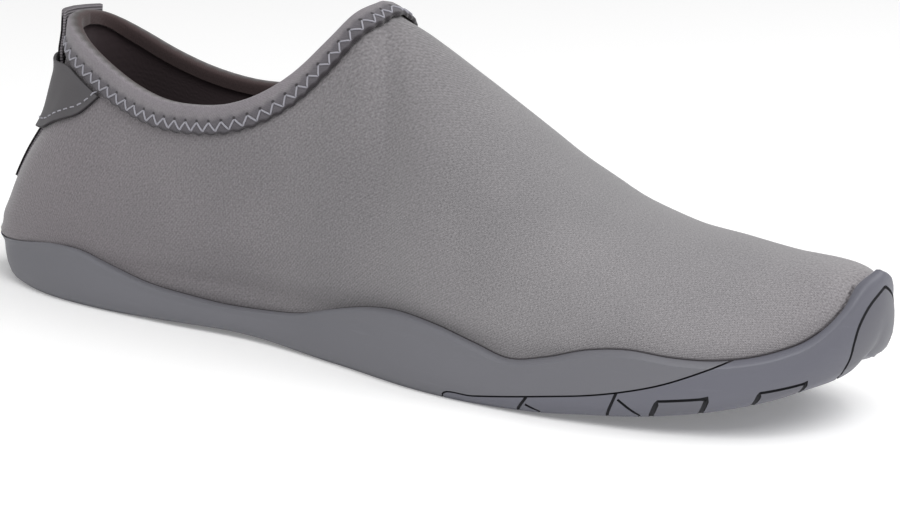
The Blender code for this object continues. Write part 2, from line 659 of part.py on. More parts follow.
def strap_line(back, front):
    """Join the two strands by a rounded loop above the collar."""
    start, end = back[-1], front[0]
    crown = UPPER_TOP["height"][0] + STRAP_LOOP
    loop_points = []
    for angle in np.linspace(0.0, np.pi, 8)[1:-1]:
        share = (1 - math.cos(angle)) / 2
        base = start + (end - start) * share
        loop_points.append(base + [0, 0, (crown - base[2]) * math.sin(angle) ** 0.8])
    return np.vstack([back, loop_points, front])


def mark_cutter(name, side, path, width):
    """Thin bar that follows a line on the sole side and sinks it into the wall."""
    line = densify(path)
    faces_at = [wall_frame(side, share, height) for share, height in line]
    points = np.array([f[0] for f in faces_at])
    outward = np.array([f[1] for f in faces_at])
    run = unit(np.gradient(points, axis=0))
    across = unit(np.cross(run, outward)) * width / 2
    sections = []
    for p, n, a in zip(points, outward, across):
        sections.append([p + n * 2 + a, p + n * 2 - a, p - n * MARK_DEPTH - a, p - n * MARK_DEPTH + a])
    count = len(sections)
    faces = [(3, 2, 1, 0), tuple(4 * (count - 1) + k for k in range(4))]
    for j in range(count - 1):
        for k in range(4):
            n = (k + 1) % 4
            faces.append((4 * j + k, 4 * j + n, 4 * j + 4 + n, 4 * j + 4 + k))
    flat = [p for section in sections for p in section]
    return hidden(mesh_object(name, flat, faces, None))


def densify(path):
    """Split long legs of a line so that it follows the curved wall."""
    line = [path[0]]
    for (s0, h0), (s1, h1) in zip(path, path[1:]):
        parts = max(1, int(round(abs(s1 - s0) / 0.012)))
        line += [(s0 + (s1 - s0) * k / parts, h0 + (h1 - h0) * k / parts)
                 for k in range(1, parts + 1)]
    return line


def wall_frame(side, share, height):
    """Point and outward normal on the sole wall; shares over 1 run on round the toe."""
    place = share * ROWS if side == "outer" else (2 - share) * ROWS
    low, high = math.floor(place), math.ceil(place)
    blend = place - low
    here = WALL_LEVELS[height_level(height)]
    count = len(here)
    point = here[low % count] * (1 - blend) + here[high % count] * blend
    normal = OUTWARD[low % count] * (1 - blend) + OUTWARD[high % count] * blend
    return point, unit(np.array([normal[0], normal[1], 0.0]))


def height_level(height):
    return min(range(len(LEVELS)), key=lambda k: abs(LEVELS[k] - height))


LEVELS = np.linspace(0.0, 1.0, 101)
WALL_LEVELS = [wall_point(level) for level in LEVELS]
CENTRE = box_centre()


def channel_cutter(name, reach, half, swing):
    """Bar across the sole that cuts one channel into the tread."""
    turn = math.radians(swing)
    along = np.array([math.sin(turn), math.cos(turn), 0.0])
    across = np.array([math.cos(turn), -math.sin(turn), 0.0])
    middle = np.array([reach, CENTRE[1], 0.0])
    points = []
    for z, width in ((-2.0, CHANNEL_WIDTH + 0.6), (TREAD_DEPTH, CHANNEL_WIDTH)):
        for a, b in ((-1, -1), (1, -1), (1, 1), (-1, 1)):
            points.append(middle + across * a * width / 2 + along * b * half + [0, 0, z])
    faces = [(3, 2, 1, 0), (4, 5, 6, 7)]
    faces += [(k, (k + 1) % 4, 4 + (k + 1) % 4, 4 + k) for k in range(4)]
    return hidden(mesh_object(name, points, faces, None))


def cut_sole(midsole, outsole):
    joint_end = JOINT["reach"][0]
    for number, row in enumerate(zip(CHANNELS["reach"], CHANNELS["half"], CHANNELS["swing"])):
        target = midsole if row[0] < joint_end else outsole
        boolean(target, channel_cutter(f"channel_{number}", *row), "DIFFERENCE")
    for number, (path, width) in enumerate(zip(MARKS, MARK_WIDTHS)):
        boolean(outsole, mark_cutter(f"mark_outer_{number}", "outer", path, width), "DIFFERENCE")
        if path[-1][0] < 1.0:
            cutter = mark_cutter(f"mark_inner_{number}", "inner", path, width)
            boolean(outsole, cutter, "DIFFERENCE")


def main():
    for obj in list(bpy.data.objects):
        bpy.data.objects.remove(obj, do_unlink=True)
    midsole = sole_solid("midsole", (0.165, 0.168, 0.2))
    outsole = sole_solid("outsole", (0.165, 0.168, 0.2))
    boolean(midsole, joint_block("joint_midsole", 0.0), "DIFFERENCE")
    boolean(outsole, joint_block("joint_outsole", GAP), "INTERSECT")
    cut_sole(midsole, outsole)
    insole()
    upper()
    collar_binding()
    heel_patch()
    pull_strap()


main()
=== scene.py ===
import math

import bmesh
import bpy
import numpy as np
from mathutils import Matrix, Vector
from mathutils.bvhtree import BVHTree


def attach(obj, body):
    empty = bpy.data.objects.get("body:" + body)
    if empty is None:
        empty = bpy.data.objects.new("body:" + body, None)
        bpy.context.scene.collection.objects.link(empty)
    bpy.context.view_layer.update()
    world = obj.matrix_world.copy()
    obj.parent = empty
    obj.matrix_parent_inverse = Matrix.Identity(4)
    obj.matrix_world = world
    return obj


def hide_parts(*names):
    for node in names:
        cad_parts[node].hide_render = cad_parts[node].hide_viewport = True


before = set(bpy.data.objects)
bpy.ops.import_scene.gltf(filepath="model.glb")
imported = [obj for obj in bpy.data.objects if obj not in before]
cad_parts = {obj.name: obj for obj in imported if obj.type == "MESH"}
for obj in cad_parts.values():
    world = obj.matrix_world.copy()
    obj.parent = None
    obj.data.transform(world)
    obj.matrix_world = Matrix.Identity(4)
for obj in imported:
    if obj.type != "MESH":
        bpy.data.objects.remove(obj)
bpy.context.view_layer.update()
mm = 0.001

# sizes of the last and the sole in mm; tables below hold shares of them
last = {
    "length": 281.0, "ballWidth": 96.0, "throatHeight": 94.8, "throatReach": 122.2,
    "bumper": 44.2, "toeSpring": 20.4, "archLift": 2.2, "floor": 5.0, "heelLift": 2.5,
    "centre": (138.964, 0.327, 0.0), "gap": 0.3, "wall": 2.5,
}
rows = 192  # columns of mesh along each side, heel to toe
throatRow = 100
rise = 40  # rows of mesh up the upper
shares = np.arange(rows + 1) / rows
ring = 2 * rows


def columns(names, sizes, lines):
    return {n: np.array(c) * size for n, size, c in zip(names.split(), sizes, zip(*lines))}


outerSide = columns("along across", (last["length"], last["ballWidth"]), [
    (0, 0), (0.034, -0.205), (0.084, -0.29), (0.1486, -0.345), (0.266, -0.355), (0.3786, -0.34),
    (0.4813, -0.4), (0.5939, -0.485), (0.6868, -0.495), (0.77, -0.47), (0.8581, -0.4),
    (0.9315, -0.27), (0.9804, -0.1), (1, 0.08),
])
innerSide = columns("along across", (last["length"], last["ballWidth"]), [
    (0.9853, 0.25), (0.9315, 0.39), (0.863, 0.46), (0.7749, 0.5), (0.6868, 0.495), (0.5792, 0.42),
    (0.4715, 0.335), (0.3737, 0.3), (0.266, 0.315), (0.1486, 0.335), (0.084, 0.285),
    (0.034, 0.205),
])
soleEdge = columns("share low top", (1, last["toeSpring"], last["bumper"]), [
    (0, 0, 0.2851), (0.05, 0, 0.2828), (0.1, 0, 0.3077), (0.15, 0, 0.362), (0.18, 0, 0.3665),
    (0.217, 0, 0.3032), (0.255, 0.0147, 0.2398), (0.304, 0.0441, 0.2059), (0.342, 0.0588, 0.19),
    (0.381, 0.0441, 0.2059), (0.42, 0.0147, 0.2489), (0.462, 0, 0.3439), (0.5, 0, 0.4118),
    (0.54, 0, 0.4434), (0.584, 0, 0.4231), (0.623, 0.0049, 0.362), (0.655, 0.0245, 0.3122),
    (0.69, 0.0588, 0.3597), (0.729, 0.1275, 0.4434), (0.762, 0.1765, 0.4751),
    (0.8, 0.2598, 0.4593), (0.83, 0.3382, 0.4593), (0.86, 0.4363, 0.4842),
    (0.89, 0.5392, 0.5339), (0.918, 0.6373, 0.6109), (0.945, 0.7108, 0.7466),
    (0.972, 0.8186, 0.9276), (1, 1, 1),
])
innerArch = columns("share lift", (1, last["archLift"]), [
    (0, 0), (0.2, 0), (0.28, 0.5455), (0.36, 1), (0.44, 0.5455), (0.52, 0), (0.86, 0),
    (0.89, 0.2), (0.9167, 0.55), (0.9375, 1), (0.958, 1), (0.979, 0.5), (1, 0),
])
endLean = columns("share low high", (1, 1, 1), [
    (0, 3, -3), (0.05, 2.6, -2.6), (0.12, 0, -0.6), (0.2, 0, 0), (0.8, 0, 0), (0.88, 0.4, 0.4),
    (0.95, 3.2, 1.6), (1, 4, 1.8),
])
collarLine = columns("share reach half height",
                     (1, last["throatReach"], last["ballWidth"], last["throatHeight"]), [
    (0, 0.1538, 0, 0.8333), (0.042, 0.1653, 0.0667, 0.827), (0.083, 0.1964, 0.1208, 0.8059),
    (0.125, 0.2537, 0.1625, 0.7679), (0.167, 0.3437, 0.1958, 0.7152),
    (0.208, 0.4378, 0.2271, 0.6751), (0.25, 0.5401, 0.2594, 0.653),
    (0.292, 0.6383, 0.2812, 0.6572), (0.333, 0.7324, 0.2865, 0.6772),
    (0.375, 0.8175, 0.2698, 0.7236), (0.417, 0.8969, 0.2312, 0.8038),
    (0.4583, 0.9583, 0.1708, 0.9072), (0.4896, 0.9869, 0.1, 0.9768), (0.5208, 1, 0, 1),
])
instepRidge = columns("share reach shift height",
                      (1, last["length"], last["ballWidth"], last["throatHeight"]), [
    (0.5208, 0.4349, 0, 1), (0.55, 0.4719, 0.0062, 0.9536), (0.6, 0.5338, 0.0167, 0.8513),
    (0.65, 0.5907, 0.0271, 0.7489), (0.7, 0.6477, 0.0375, 0.6477), (0.75, 0.7082, 0.0479, 0.5633),
    (0.8, 0.7722, 0.0604, 0.5105), (0.85, 0.8327, 0.0729, 0.4916), (0.9, 0.8826, 0.0813, 0.4758),
    (0.95, 0.9075, 0.0854, 0.4726), (1, 0.911, 0.0854, 0.4705),
])
ribShape = columns("share inset lean start inward up back finish",
                   (1, last["ballWidth"], 1, last["throatHeight"], 1, 1, 1, last["throatHeight"]), [
    (0, 0.0667, 62, 0.2257, -0.06, 1, 0, 0.3586), (0.05, 0.0646, 58, 0.23, 0, 1, 0, 0.3376),
    (0.12, 0.0604, 36, 0.2215, 0.11, 1, 0, 0.2637), (0.2, 0.0542, 15, 0.1899, 0.16, 1, 0, 0.211),
    (0.3, 0.0521, 10, 0.1899, 0.14, 1, 0, 0.211),
    (0.375, 0.0521, 10, 0.2215, 0.3, 0.9, 0.06, 0.2321),
    (0.4375, 0.0531, 12, 0.2637, 0.45, 0.68, 0.26, 0.2426),
    (0.48, 0.0542, 13, 0.2848, 0.6, 0.34, 0.54, 0.2532),
    (0.5208, 0.0563, 14, 0.3059, 0.8, 0, 0.85, 0.2637),
    (0.56, 0.0563, 16, 0.3059, 1, 0, 0.52, 0.2637),
    (0.62, 0.0563, 18, 0.2848, 1, 0, 0.22, 0.2637), (0.7, 0.0563, 20, 0.2426, 1, 0, 0.06, 0.2637),
    (0.8, 0.0604, 20, 0.1899, 1, 0, 0.14, 0.2321), (0.88, 0.0687, 18, 0.1635, 1, 0, 0.42, 0.1899),
    (0.94, 0.0708, 16, 0.1878, 0.85, 0, 0.9, 0.2131), (1, 0.0771, 14, 0.1951, 0, 0, 1, 0.2363),
])
# cloth bulging over the sole at the heel, and the dent above it
heelSwell = columns("share low high", (1, 1, 1), [
    (0, 1.2, 1.4), (0.04, 1.3, 1.5), (0.08, 1.2, 1.2), (0.12, 0.8, 0.6), (0.16, 0.3, 0.1),
    (0.2, 0, 0), (1, 0, 0),
])


def readSmooth(data, key, name, at):
    xs, ys = data[key], data[name]
    slopes = np.gradient(ys, xs)
    at = np.clip(at, xs[0], xs[-1])
    i = np.clip(np.searchsorted(xs, at) - 1, 0, len(xs) - 2)
    step = xs[i + 1] - xs[i]
    t = (at - xs[i]) / step
    begin = ys[i] * (1 + 2 * t) * (1 - t) ** 2 + slopes[i] * step * t * (1 - t) ** 2
    return begin + ys[i + 1] * t * t * (3 - 2 * t) + slopes[i + 1] * step * t * t * (t - 1)


def unit(v):
    return v / np.linalg.norm(v, axis=-1, keepdims=True)


def pathLength(points):  # length run from the first point to each
    return np.r_[0, np.cumsum(np.linalg.norm(np.diff(points, axis=0), axis=1))]


def alongPath(at, length, points):  # points read off a path at given lengths
    return np.column_stack([np.interp(at, length, points[:, k]) for k in range(points.shape[1])])


def smoothStep(t):
    t = np.clip(t, 0.0, 1.0)
    return t * t * (3 - 2 * t)


def bothSides(outer, inner):  # one ring, heel round the toe and back
    return np.concatenate([outer, inner[-2:0:-1]])


def soleOutline():
    along = np.r_[outerSide["along"], innerSide["along"]]
    across = np.r_[outerSide["across"], innerSide["across"]]
    knots = np.column_stack([along, across])
    toe = len(outerSide["along"]) - 1
    count = len(knots)
    loop = np.vstack([knots[-4:], knots, knots[:5]])
    where = np.r_[0, np.cumsum(np.sqrt(np.linalg.norm(np.diff(loop, axis=0), axis=1)))]
    data = {"t": where, "x": loop[:, 0], "y": loop[:, 1]}
    sides = []
    for first, final in ((4, 4 + toe), (4 + count, 4 + toe)):
        t = np.linspace(where[first], where[final], 3000)
        path = np.column_stack([readSmooth(data, "t", k, t) for k in "xy"])
        length = pathLength(path)
        tangent = unit(np.gradient(path, axis=0)) * (1.0 if final > first else -1.0)
        normal = np.column_stack([tangent[:, 1], -tangent[:, 0]])
        wanted = shares * length[-1]
        sides.append((alongPath(wanted, length, path), unit(alongPath(wanted, length, normal))))
    return sides


sides = soleOutline()
plan = bothSides(sides[0][0], sides[1][0])
outward = bothSides(sides[0][1], sides[1][1])
ringShare = bothSides(shares, shares)
onInner = np.arange(ring) > rows
soleLow = np.maximum(readSmooth(soleEdge, "share", "low", ringShare)
                     + np.where(onInner, readSmooth(innerArch, "share", "lift", ringShare), 0), 0)
soleTop = readSmooth(soleEdge, "share", "top", ringShare)
footbed = soleLow + last["floor"] + last["heelLift"] * smoothStep((0.42 - ringShare) / 0.24)


def topLine():
    ends, arrivals = [], []
    for index, side in ((0, -1.0), (1, 1.0)):
        inward = -sides[index][1]
        point = np.zeros((rows + 1, 3))
        collar, ridge = slice(0, throatRow + 1), slice(throatRow, rows + 1)
        for k, name in enumerate(("reach", "half", "height")):
            sign = side if name == "half" else 1.0
            point[collar, k] = sign * readSmooth(collarLine, "share", name, shares[collar])
        for k, name in enumerate(("reach", "shift", "height")):
            point[ridge, k] = readSmooth(instepRidge, "share", name, shares[ridge])
        turn = readSmooth(ribShape, "share", "inward", shares)
        arrive = np.zeros((rows + 1, 3))
        low = np.clip(shares / shares[throatRow], 0, 1) ** 3
        arrive[:, 0] = inward[:, 0] * turn * (1 - low)
        arrive[:, 1] = (inward[:, 1] * (1 - low) - side * low) * turn
        slope = unit(np.gradient(point[ridge][:-16], axis=0))
        slope = np.vstack([slope, np.repeat(slope[-1:], 16, axis=0)])
        slope[:, 1] = 0
        slope = np.vstack([np.repeat(slope[:1], throatRow, axis=0), slope])
        arrive -= slope * readSmooth(ribShape, "share", "back", shares)[:, None]
        arrive[:, 2] += readSmooth(ribShape, "share", "up", shares)
        ends.append(point)
        arrivals.append(unit(arrive))
    return bothSides(*ends), bothSides(*arrivals)


def lastRibs(steps):  # outer face of the upper, a row of points up each rib
    top, arrive = topLine()
    inset, lean, start, finish = (
        readSmooth(ribShape, "share", n, ringShare)[:, None]
        for n in ("inset", "lean", "start", "finish"))
    foot = np.column_stack([plan - outward * inset, footbed + last["gap"]])
    lean = np.radians(lean)
    leave = np.column_stack([outward * np.sin(lean), np.cos(lean)])
    t = np.linspace(0, 1, steps + 1)[:, None, None]
    b, c = foot + leave * start, top - arrive * finish
    curve = foot * (1 - t) ** 3 + 3 * b * t * (1 - t) ** 2 + 3 * c * t * t * (1 - t) + top * t ** 3
    low, high = (readSmooth(heelSwell, "share", n, ringShare)[:, None] for n in ("low", "high"))
    push = low * np.exp(-((t - 0.22) / 0.075) ** 2) - high * np.exp(-((t - 0.67) / 0.1) ** 2)
    push += 2.2 * low * np.exp(-((t - 0.125) / 0.05) ** 2)  # the cloth meets the rim here
    curve += np.column_stack([outward, np.zeros(ring)]) * push
    return curve.transpose(1, 0, 2)


ribs = lastRibs(rise)


def ribAt(height):
    points = []
    for rib, z in zip(ribs, height):
        low = rib[: rise // 2 + 1]
        points.append([np.interp(z, low[:, 2], low[:, 0]), np.interp(z, low[:, 2], low[:, 1])])
    return np.array(points)


def layGrid(name, points, uvs=None, closedRound=False):
    # a grid primitive laid on rows of points given in mm; closedRound repeats the first row
    if closedRound:
        points = np.concatenate([points, points[:1]])
    n, m = points.shape[:2]
    bpy.ops.object.select_all(action="DESELECT")
    bpy.ops.mesh.primitive_grid_add(x_subdivisions=m - 1, y_subdivisions=n - 1, size=1)
    piece = bpy.context.object
    piece.name = piece.data.name = name
    mesh = piece.data
    places = (points.reshape(-1, 3) - np.array(last["centre"])) * mm
    mesh.vertices.foreach_set("co", places.ravel())
    if uvs is not None:
        corner = np.zeros(len(mesh.loops), dtype=int)
        mesh.loops.foreach_get("vertex_index", corner)
        mesh.uv_layers.active.data.foreach_set("uv", uvs.reshape(-1, 2)[corner].ravel())
    mesh.update()
    return piece


def only(piece):
    bpy.ops.object.select_all(action="DESELECT")
    piece.select_set(True)
    bpy.context.view_layer.objects.active = piece


def openMesh(piece):  # edit mode with everything selected
    only(piece)
    bpy.ops.object.mode_set(mode="EDIT")
    bpy.ops.mesh.select_all(action="SELECT")


def closeMesh():  # faces turned outward, back to object mode
    bpy.ops.mesh.select_all(action="SELECT")
    bpy.ops.mesh.normals_make_consistent(inside=False)
    bpy.ops.object.mode_set(mode="OBJECT")


def joinDoubles(piece):
    openMesh(piece)
    bpy.ops.mesh.remove_doubles(threshold=0.00001)
    bpy.ops.mesh.dissolve_degenerate(threshold=0.000001)
    closeMesh()


def selectEdges(piece, test):
    openMesh(piece)
    bpy.ops.mesh.select_mode(type="EDGE")
    bpy.ops.mesh.select_all(action="DESELECT")
    bm = bmesh.from_edit_mesh(piece.data)
    for edge in bm.edges:
        edge.select = test(edge)
    bmesh.update_edit_mesh(piece.data)


def capEnds(piece):
    selectEdges(piece, lambda edge: edge.is_boundary)
    bpy.ops.mesh.edge_face_add()
    closeMesh()
    return piece


def applyModifier(piece, kind, **values):
    only(piece)
    modifier = piece.modifiers.new(kind.lower(), kind)
    for key, value in values.items():
        setattr(modifier, key, value)
    bpy.ops.object.modifier_apply(modifier=modifier.name)


def smoothShade(piece, angle=40):
    only(piece)
    bpy.ops.object.shade_smooth_by_angle(angle=math.radians(angle))


def giveMaterials(piece, *materials):
    for material in materials:
        piece.data.materials.append(material)


def finishPiece(piece, slotName, *nodes):
    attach(piece, "root")
    if nodes:
        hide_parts(*nodes)
    print("made", piece.name, len(piece.data.polygons), "faces")
    return piece


def linkNodes(tree, *pairs):
    for a, b in pairs:
        tree.links.new(a, b)


def addNode(tree, kind, **values):
    node = tree.nodes.new(kind)
    for key, value in values.items():
        if key.startswith("in"):
            node.inputs[int(key[2:])].default_value = value
        else:
            setattr(node, key, value)
    return node


def doMath(tree, operation, a, b=None, c=None):
    node = tree.nodes.new("ShaderNodeMath")
    node.operation = operation
    for socket, value in zip(node.inputs, (a, b, c)):
        if value is None:
            continue
        if isinstance(value, (int, float)):
            socket.default_value = value
        else:
            tree.links.new(value, socket)
    return node.outputs[0]


def splitVector(tree, vector):
    node = addNode(tree, "ShaderNodeSeparateXYZ")
    tree.links.new(vector, node.inputs[0])
    return node.outputs


def readLayer(tree, name):  # the number kept in a UV layer
    return splitVector(tree, addNode(tree, "ShaderNodeUVMap", uv_map=name).outputs[0])[0]


def remap(tree, value, low, high, toLow=0.0, toHigh=1.0):
    node = addNode(tree, "ShaderNodeMapRange", in1=low, in2=high, in3=toLow, in4=toHigh)
    tree.links.new(value, node.inputs[0])
    return node.outputs[0]


def addNoise(tree, vector, scale, detail, roughness=0.5):
    node = addNode(tree, "ShaderNodeTexNoise")
    for name, value in (("Scale", scale), ("Detail", detail), ("Roughness", roughness)):
        node.inputs[name].default_value = value
    tree.links.new(vector, node.inputs["Vector"])
    return node.outputs


def addGrey(tree, value):
    node = addNode(tree, "ShaderNodeCombineColor")
    linkNodes(tree, *[(value, node.inputs[k]) for k in range(3)])
    return node.outputs[0]


def addRelief(tree, shader, height, strength, depth):
    node = addNode(tree, "ShaderNodeBump")
    node.inputs["Strength"].default_value = strength
    node.inputs["Distance"].default_value = depth * mm
    linkNodes(tree, (height, node.inputs["Height"]), (node.outputs[0], shader.inputs["Normal"]))


def newGroup(name, inputs, outputs):
    group = bpy.data.node_groups.new(name, "ShaderNodeTree")
    for kind, entries in (("INPUT", inputs), ("OUTPUT", outputs)):
        for title, socketKind, *value in entries:
            socket = group.interface.new_socket(title, in_out=kind, socket_type=socketKind)
            if value:
                socket.default_value = value[0]
    return group, group.nodes.new("NodeGroupInput"), group.nodes.new("NodeGroupOutput")


def knitGroup():  # fine diagonal knit, coordinates in mm
    group, into, out = newGroup(
        "knit", [("Vector", "NodeSocketVector"), ("Pitch", "NodeSocketFloat", 0.8),
                 ("Wander", "NodeSocketFloat", 0.15)],
        [("Height", "NodeSocketFloat"), ("Fleck", "NodeSocketFloat")])
    wobble = addNoise(group, into.outputs["Vector"], 0.35, 2)["Color"]
    centred = addNode(group, "ShaderNodeVectorMath", operation="SUBTRACT")
    centred.inputs[1].default_value = (0.5, 0.5, 0.5)
    mixed = addNode(group, "ShaderNodeVectorMath", operation="MULTIPLY_ADD")
    linkNodes(group, (wobble, centred.inputs[0]), (centred.outputs[0], mixed.inputs[0]),
              (into.outputs["Wander"], mixed.inputs[1]), (into.outputs["Vector"], mixed.inputs[2]))
    turn = doMath(group, "DIVIDE", 2 * math.pi, into.outputs["Pitch"])
    x, y, _ = splitVector(group, mixed.outputs[0])
    slant = doMath(group, "MULTIPLY_ADD", y, 0.8, x)
    back = doMath(group, "MULTIPLY_ADD", y, -1.25, x)
    first = doMath(group, "SINE", doMath(group, "MULTIPLY", slant, turn))
    turn = doMath(group, "MULTIPLY", turn, 0.8)
    second = doMath(group, "SINE", doMath(group, "MULTIPLY", back, turn))
    product = doMath(group, "MULTIPLY", first, second)
    height = doMath(group, "MULTIPLY_ADD", doMath(group, "ADD", product, first), 0.25, 0.5)
    fine = addNoise(group, mixed.outputs[0], 1.7, 3, 0.6)["Fac"]
    linkNodes(group, (height, out.inputs["Height"]), (fine, out.inputs["Fleck"]))
    return group


def grainGroup():  # moulded rubber or foam skin, object coordinates in metres
    group, into, out = newGroup(
        "moulded", [("Vector", "NodeSocketVector"), ("Size", "NodeSocketFloat", 0.6)],
        [("Height", "NodeSocketFloat"), ("Cloud", "NodeSocketFloat"),
         ("Scuff", "NodeSocketFloat")])
    scale = doMath(group, "DIVIDE", 1000.0, into.outputs["Size"])
    for title, factor in (("Height", 1.0), ("Cloud", 0.018)):
        noise = addNode(group, "ShaderNodeTexNoise")
        noise.inputs["Detail"].default_value = 3
        linkNodes(group, (into.outputs["Vector"], noise.inputs["Vector"]),
                  (doMath(group, "MULTIPLY", scale, factor), noise.inputs["Scale"]),
                  (noise.outputs["Fac"], out.inputs[title]))
    streak = addNode(group, "ShaderNodeMapping")
    streak.inputs["Scale"].default_value = (60, 200, 900)
    lines = addNoise(group, streak.outputs[0], 1.0, 4)["Fac"]
    scuff = doMath(group, "SMOOTH_MIN", doMath(group, "SUBTRACT", lines, 0.62), 0.2, 0.1)
    linkNodes(group, (into.outputs["Vector"], streak.inputs["Vector"]),
              (doMath(group, "MAXIMUM", scuff, 0.0), out.inputs["Scuff"]))
    return group


knit = knitGroup()
moulded = grainGroup()


def newMaterial(name, roughness=0.8, **sockets):
    material = bpy.data.materials.new(name)
    material.use_nodes = True
    shader = material.node_tree.nodes["Principled BSDF"]
    shader.inputs["Roughness"].default_value = roughness
    for key, value in sockets.items():
        shader.inputs[key.replace("_", " ")].default_value = value
    return material, material.node_tree, shader


def mixColours(tree, factor, first, second, kind="MIX"):
    node = tree.nodes.new("ShaderNodeMix")
    node.data_type = "RGBA"
    node.blend_type = kind
    for index, value in ((0, factor), (6, first), (7, second)):
        socket = node.inputs[index]
        if isinstance(value, (int, float)):
            socket.default_value = value
        elif isinstance(value, tuple):
            socket.default_value = (*value, 1)
        else:
            tree.links.new(value, socket)
    return node.outputs[2]


def colourRamp(tree, value, stops):  # colours between stops, the stops given in mm
    scale = stops[-1][0]
    node = tree.nodes.new("ShaderNodeValToRGB")
    elements = node.color_ramp.elements
    for k, (place, colour) in enumerate(stops):
        element = elements[k] if k < 2 else elements.new(1.0)
        element.position = place / scale
        element.color = (*colour, 1)
    tree.links.new(doMath(tree, "DIVIDE", value, scale), node.inputs[0])
    return node.outputs[0]


def clothMaterial(name, tones, pitch=0.8, fleck=0.22, bump=0.16, roughness=0.85, sheen=0.25,
                  weave=0.1, wander=0.3, cloudSize=26.0, extra=None):
    material, tree, shader = newMaterial(name, roughness, Sheen_Weight=sheen, Sheen_Roughness=0.5,
                                         Specular_IOR_Level=0.25)
    uv = addNode(tree, "ShaderNodeUVMap", uv_map="UVMap")
    cloth = addNode(tree, "ShaderNodeGroup", node_tree=knit)
    cloth.inputs["Pitch"].default_value = pitch
    cloth.inputs["Wander"].default_value = wander
    coords = addNode(tree, "ShaderNodeTexCoord").outputs["Object"]
    linkNodes(tree, (uv.outputs[0], cloth.inputs["Vector"]))
    cloud = addNoise(tree, coords, cloudSize, 3)["Fac"]
    base = mixColours(tree, remap(tree, cloud, 0.35, 0.65), *tones)
    grain, relief = cloth.outputs["Fleck"], cloth.outputs["Height"]
    flecks = doMath(tree, "MULTIPLY_ADD", doMath(tree, "SUBTRACT", grain, 0.5), fleck * 4, 1.0)
    flecks = doMath(tree, "MULTIPLY_ADD", doMath(tree, "SUBTRACT", relief, 0.5), weave * 2, flecks)
    colour = mixColours(tree, 1.0, base, addGrey(tree, flecks), "MULTIPLY")
    height = doMath(tree, "MULTIPLY_ADD", grain, 0.7, relief)
    if extra:
        colour, height = extra(tree, uv.outputs[0], coords, colour, height)
    addRelief(tree, shader, height, 0.6, bump)
    linkNodes(tree, (colour, shader.inputs["Base Color"]))
    return material


def rubberMaterial(name, tone, tint, size=0.5, bump=0.05, roughness=0.5, extra=None):
    material, tree, shader = newMaterial(name, roughness, Specular_IOR_Level=0.4)
    skin = addNode(tree, "ShaderNodeGroup", node_tree=moulded)
    skin.inputs["Size"].default_value = size
    coords = addNode(tree, "ShaderNodeTexCoord").outputs["Object"]
    linkNodes(tree, (coords, skin.inputs["Vector"]))
    colour = mixColours(tree, skin.outputs["Cloud"], tone, tint)
    worn = tuple(min(1.0, 1.5 * c) for c in tone)
    colour = mixColours(tree, doMath(tree, "MULTIPLY", skin.outputs["Scuff"], 1.2), colour, worn)
    if extra:
        colour = extra(tree, colour)
    addRelief(tree, shader, skin.outputs["Height"], 0.5, bump)
    rough = doMath(tree, "MULTIPLY_ADD", skin.outputs["Cloud"], 0.16, roughness - 0.08)
    linkNodes(tree, (colour, shader.inputs["Base Color"]), (rough, shader.inputs["Roughness"]))
    return material


# upper: one knitted cloth with its lining, soft folds given below
upperCloth = {
    "slot": "upper", "tones": ((0.218, 0.21, 0.218), (0.246, 0.236, 0.244)),
    # the rim colour is painted shade, a dark line on the cloth where it meets the sole
    "wall": 1.8, "rim": (0.035, 0.03, 0.036),
    # shade along the shoe, mm from the heel: rosier behind, with painted shade behind and painted
    # light towards the toe
    "shade": [(0, (0.73, 0.68, 0.705)), (140, (0.83, 0.823, 0.828)), (200, (0.98, 0.98, 0.98)),
              (245, (1.06, 1.055, 1.06)), (281, (1.08, 1.06, 1.07))],
    "lining": ((0.19, 0.128, 0.124), (0.31, 0.21, 0.2)), "fluff": (0.62, 0.5, 0.47),
    "heelLining": (0.06, 0.043, 0.047), "liningSeam": -0.068,
    # from share and rise, to share and rise, half width mm, depth mm outward
    "folds": [
        (0.70, 0.22, 0.745, 0.86, 7.0, -0.45), (0.645, 0.30, 0.685, 0.9, 9.0, -0.35),
        (0.755, 0.25, 0.80, 0.8, 6.0, -0.3), (0.18, 0.62, 0.40, 0.56, 7.0, -0.45),
        (0.44, 0.35, 0.50, 0.78, 9.0, 0.35), (0.50, 0.25, 0.545, 0.8, 8.0, -0.3),
        (0.08, 0.25, 0.22, 0.33, 8.0, -0.35), (0.10, 0.12, 0.30, 0.15, 6.0, 0.25),
    ],
}


def gridNormals(grid):
    around = np.roll(grid, -1, axis=0) - np.roll(grid, 1, axis=0)
    normal = np.cross(around, np.gradient(grid, axis=1))
    size = np.linalg.norm(normal, axis=2, keepdims=True)
    normal = normal / np.maximum(size, 1e-6)
    return normal * np.where(size < 1e-3, 0.0, 1.0)


def foldCloth(grid):
    normals = gridNormals(grid)
    if np.sum(normals[ring // 4, rise // 3, :2] * outward[ring // 4]) < 0:
        normals = -normals
    result = grid.copy()
    for s0, t0, s1, t1, width, depth in upperCloth["folds"]:
        for mirror in (1, -1):
            places = []
            for w in np.linspace(0, 1, 30):
                column = int(round((s0 + (s1 - s0) * w) * rows)) * mirror
                places.append(grid[column, int(round((t0 + (t1 - t0) * w) * rise))])
            gap = np.linalg.norm(grid[:, :, None] - np.array(places), axis=3)
            near = gap.argmin(axis=2)
            taper = np.sin(np.pi * np.clip(near / 29.0, 0.06, 0.94)) ** 0.7
            amount = depth * taper * np.exp(-(gap.min(axis=2) / width) ** 2)
            result += normals * amount[..., None]
    return result


clothGrid = foldCloth(ribs)


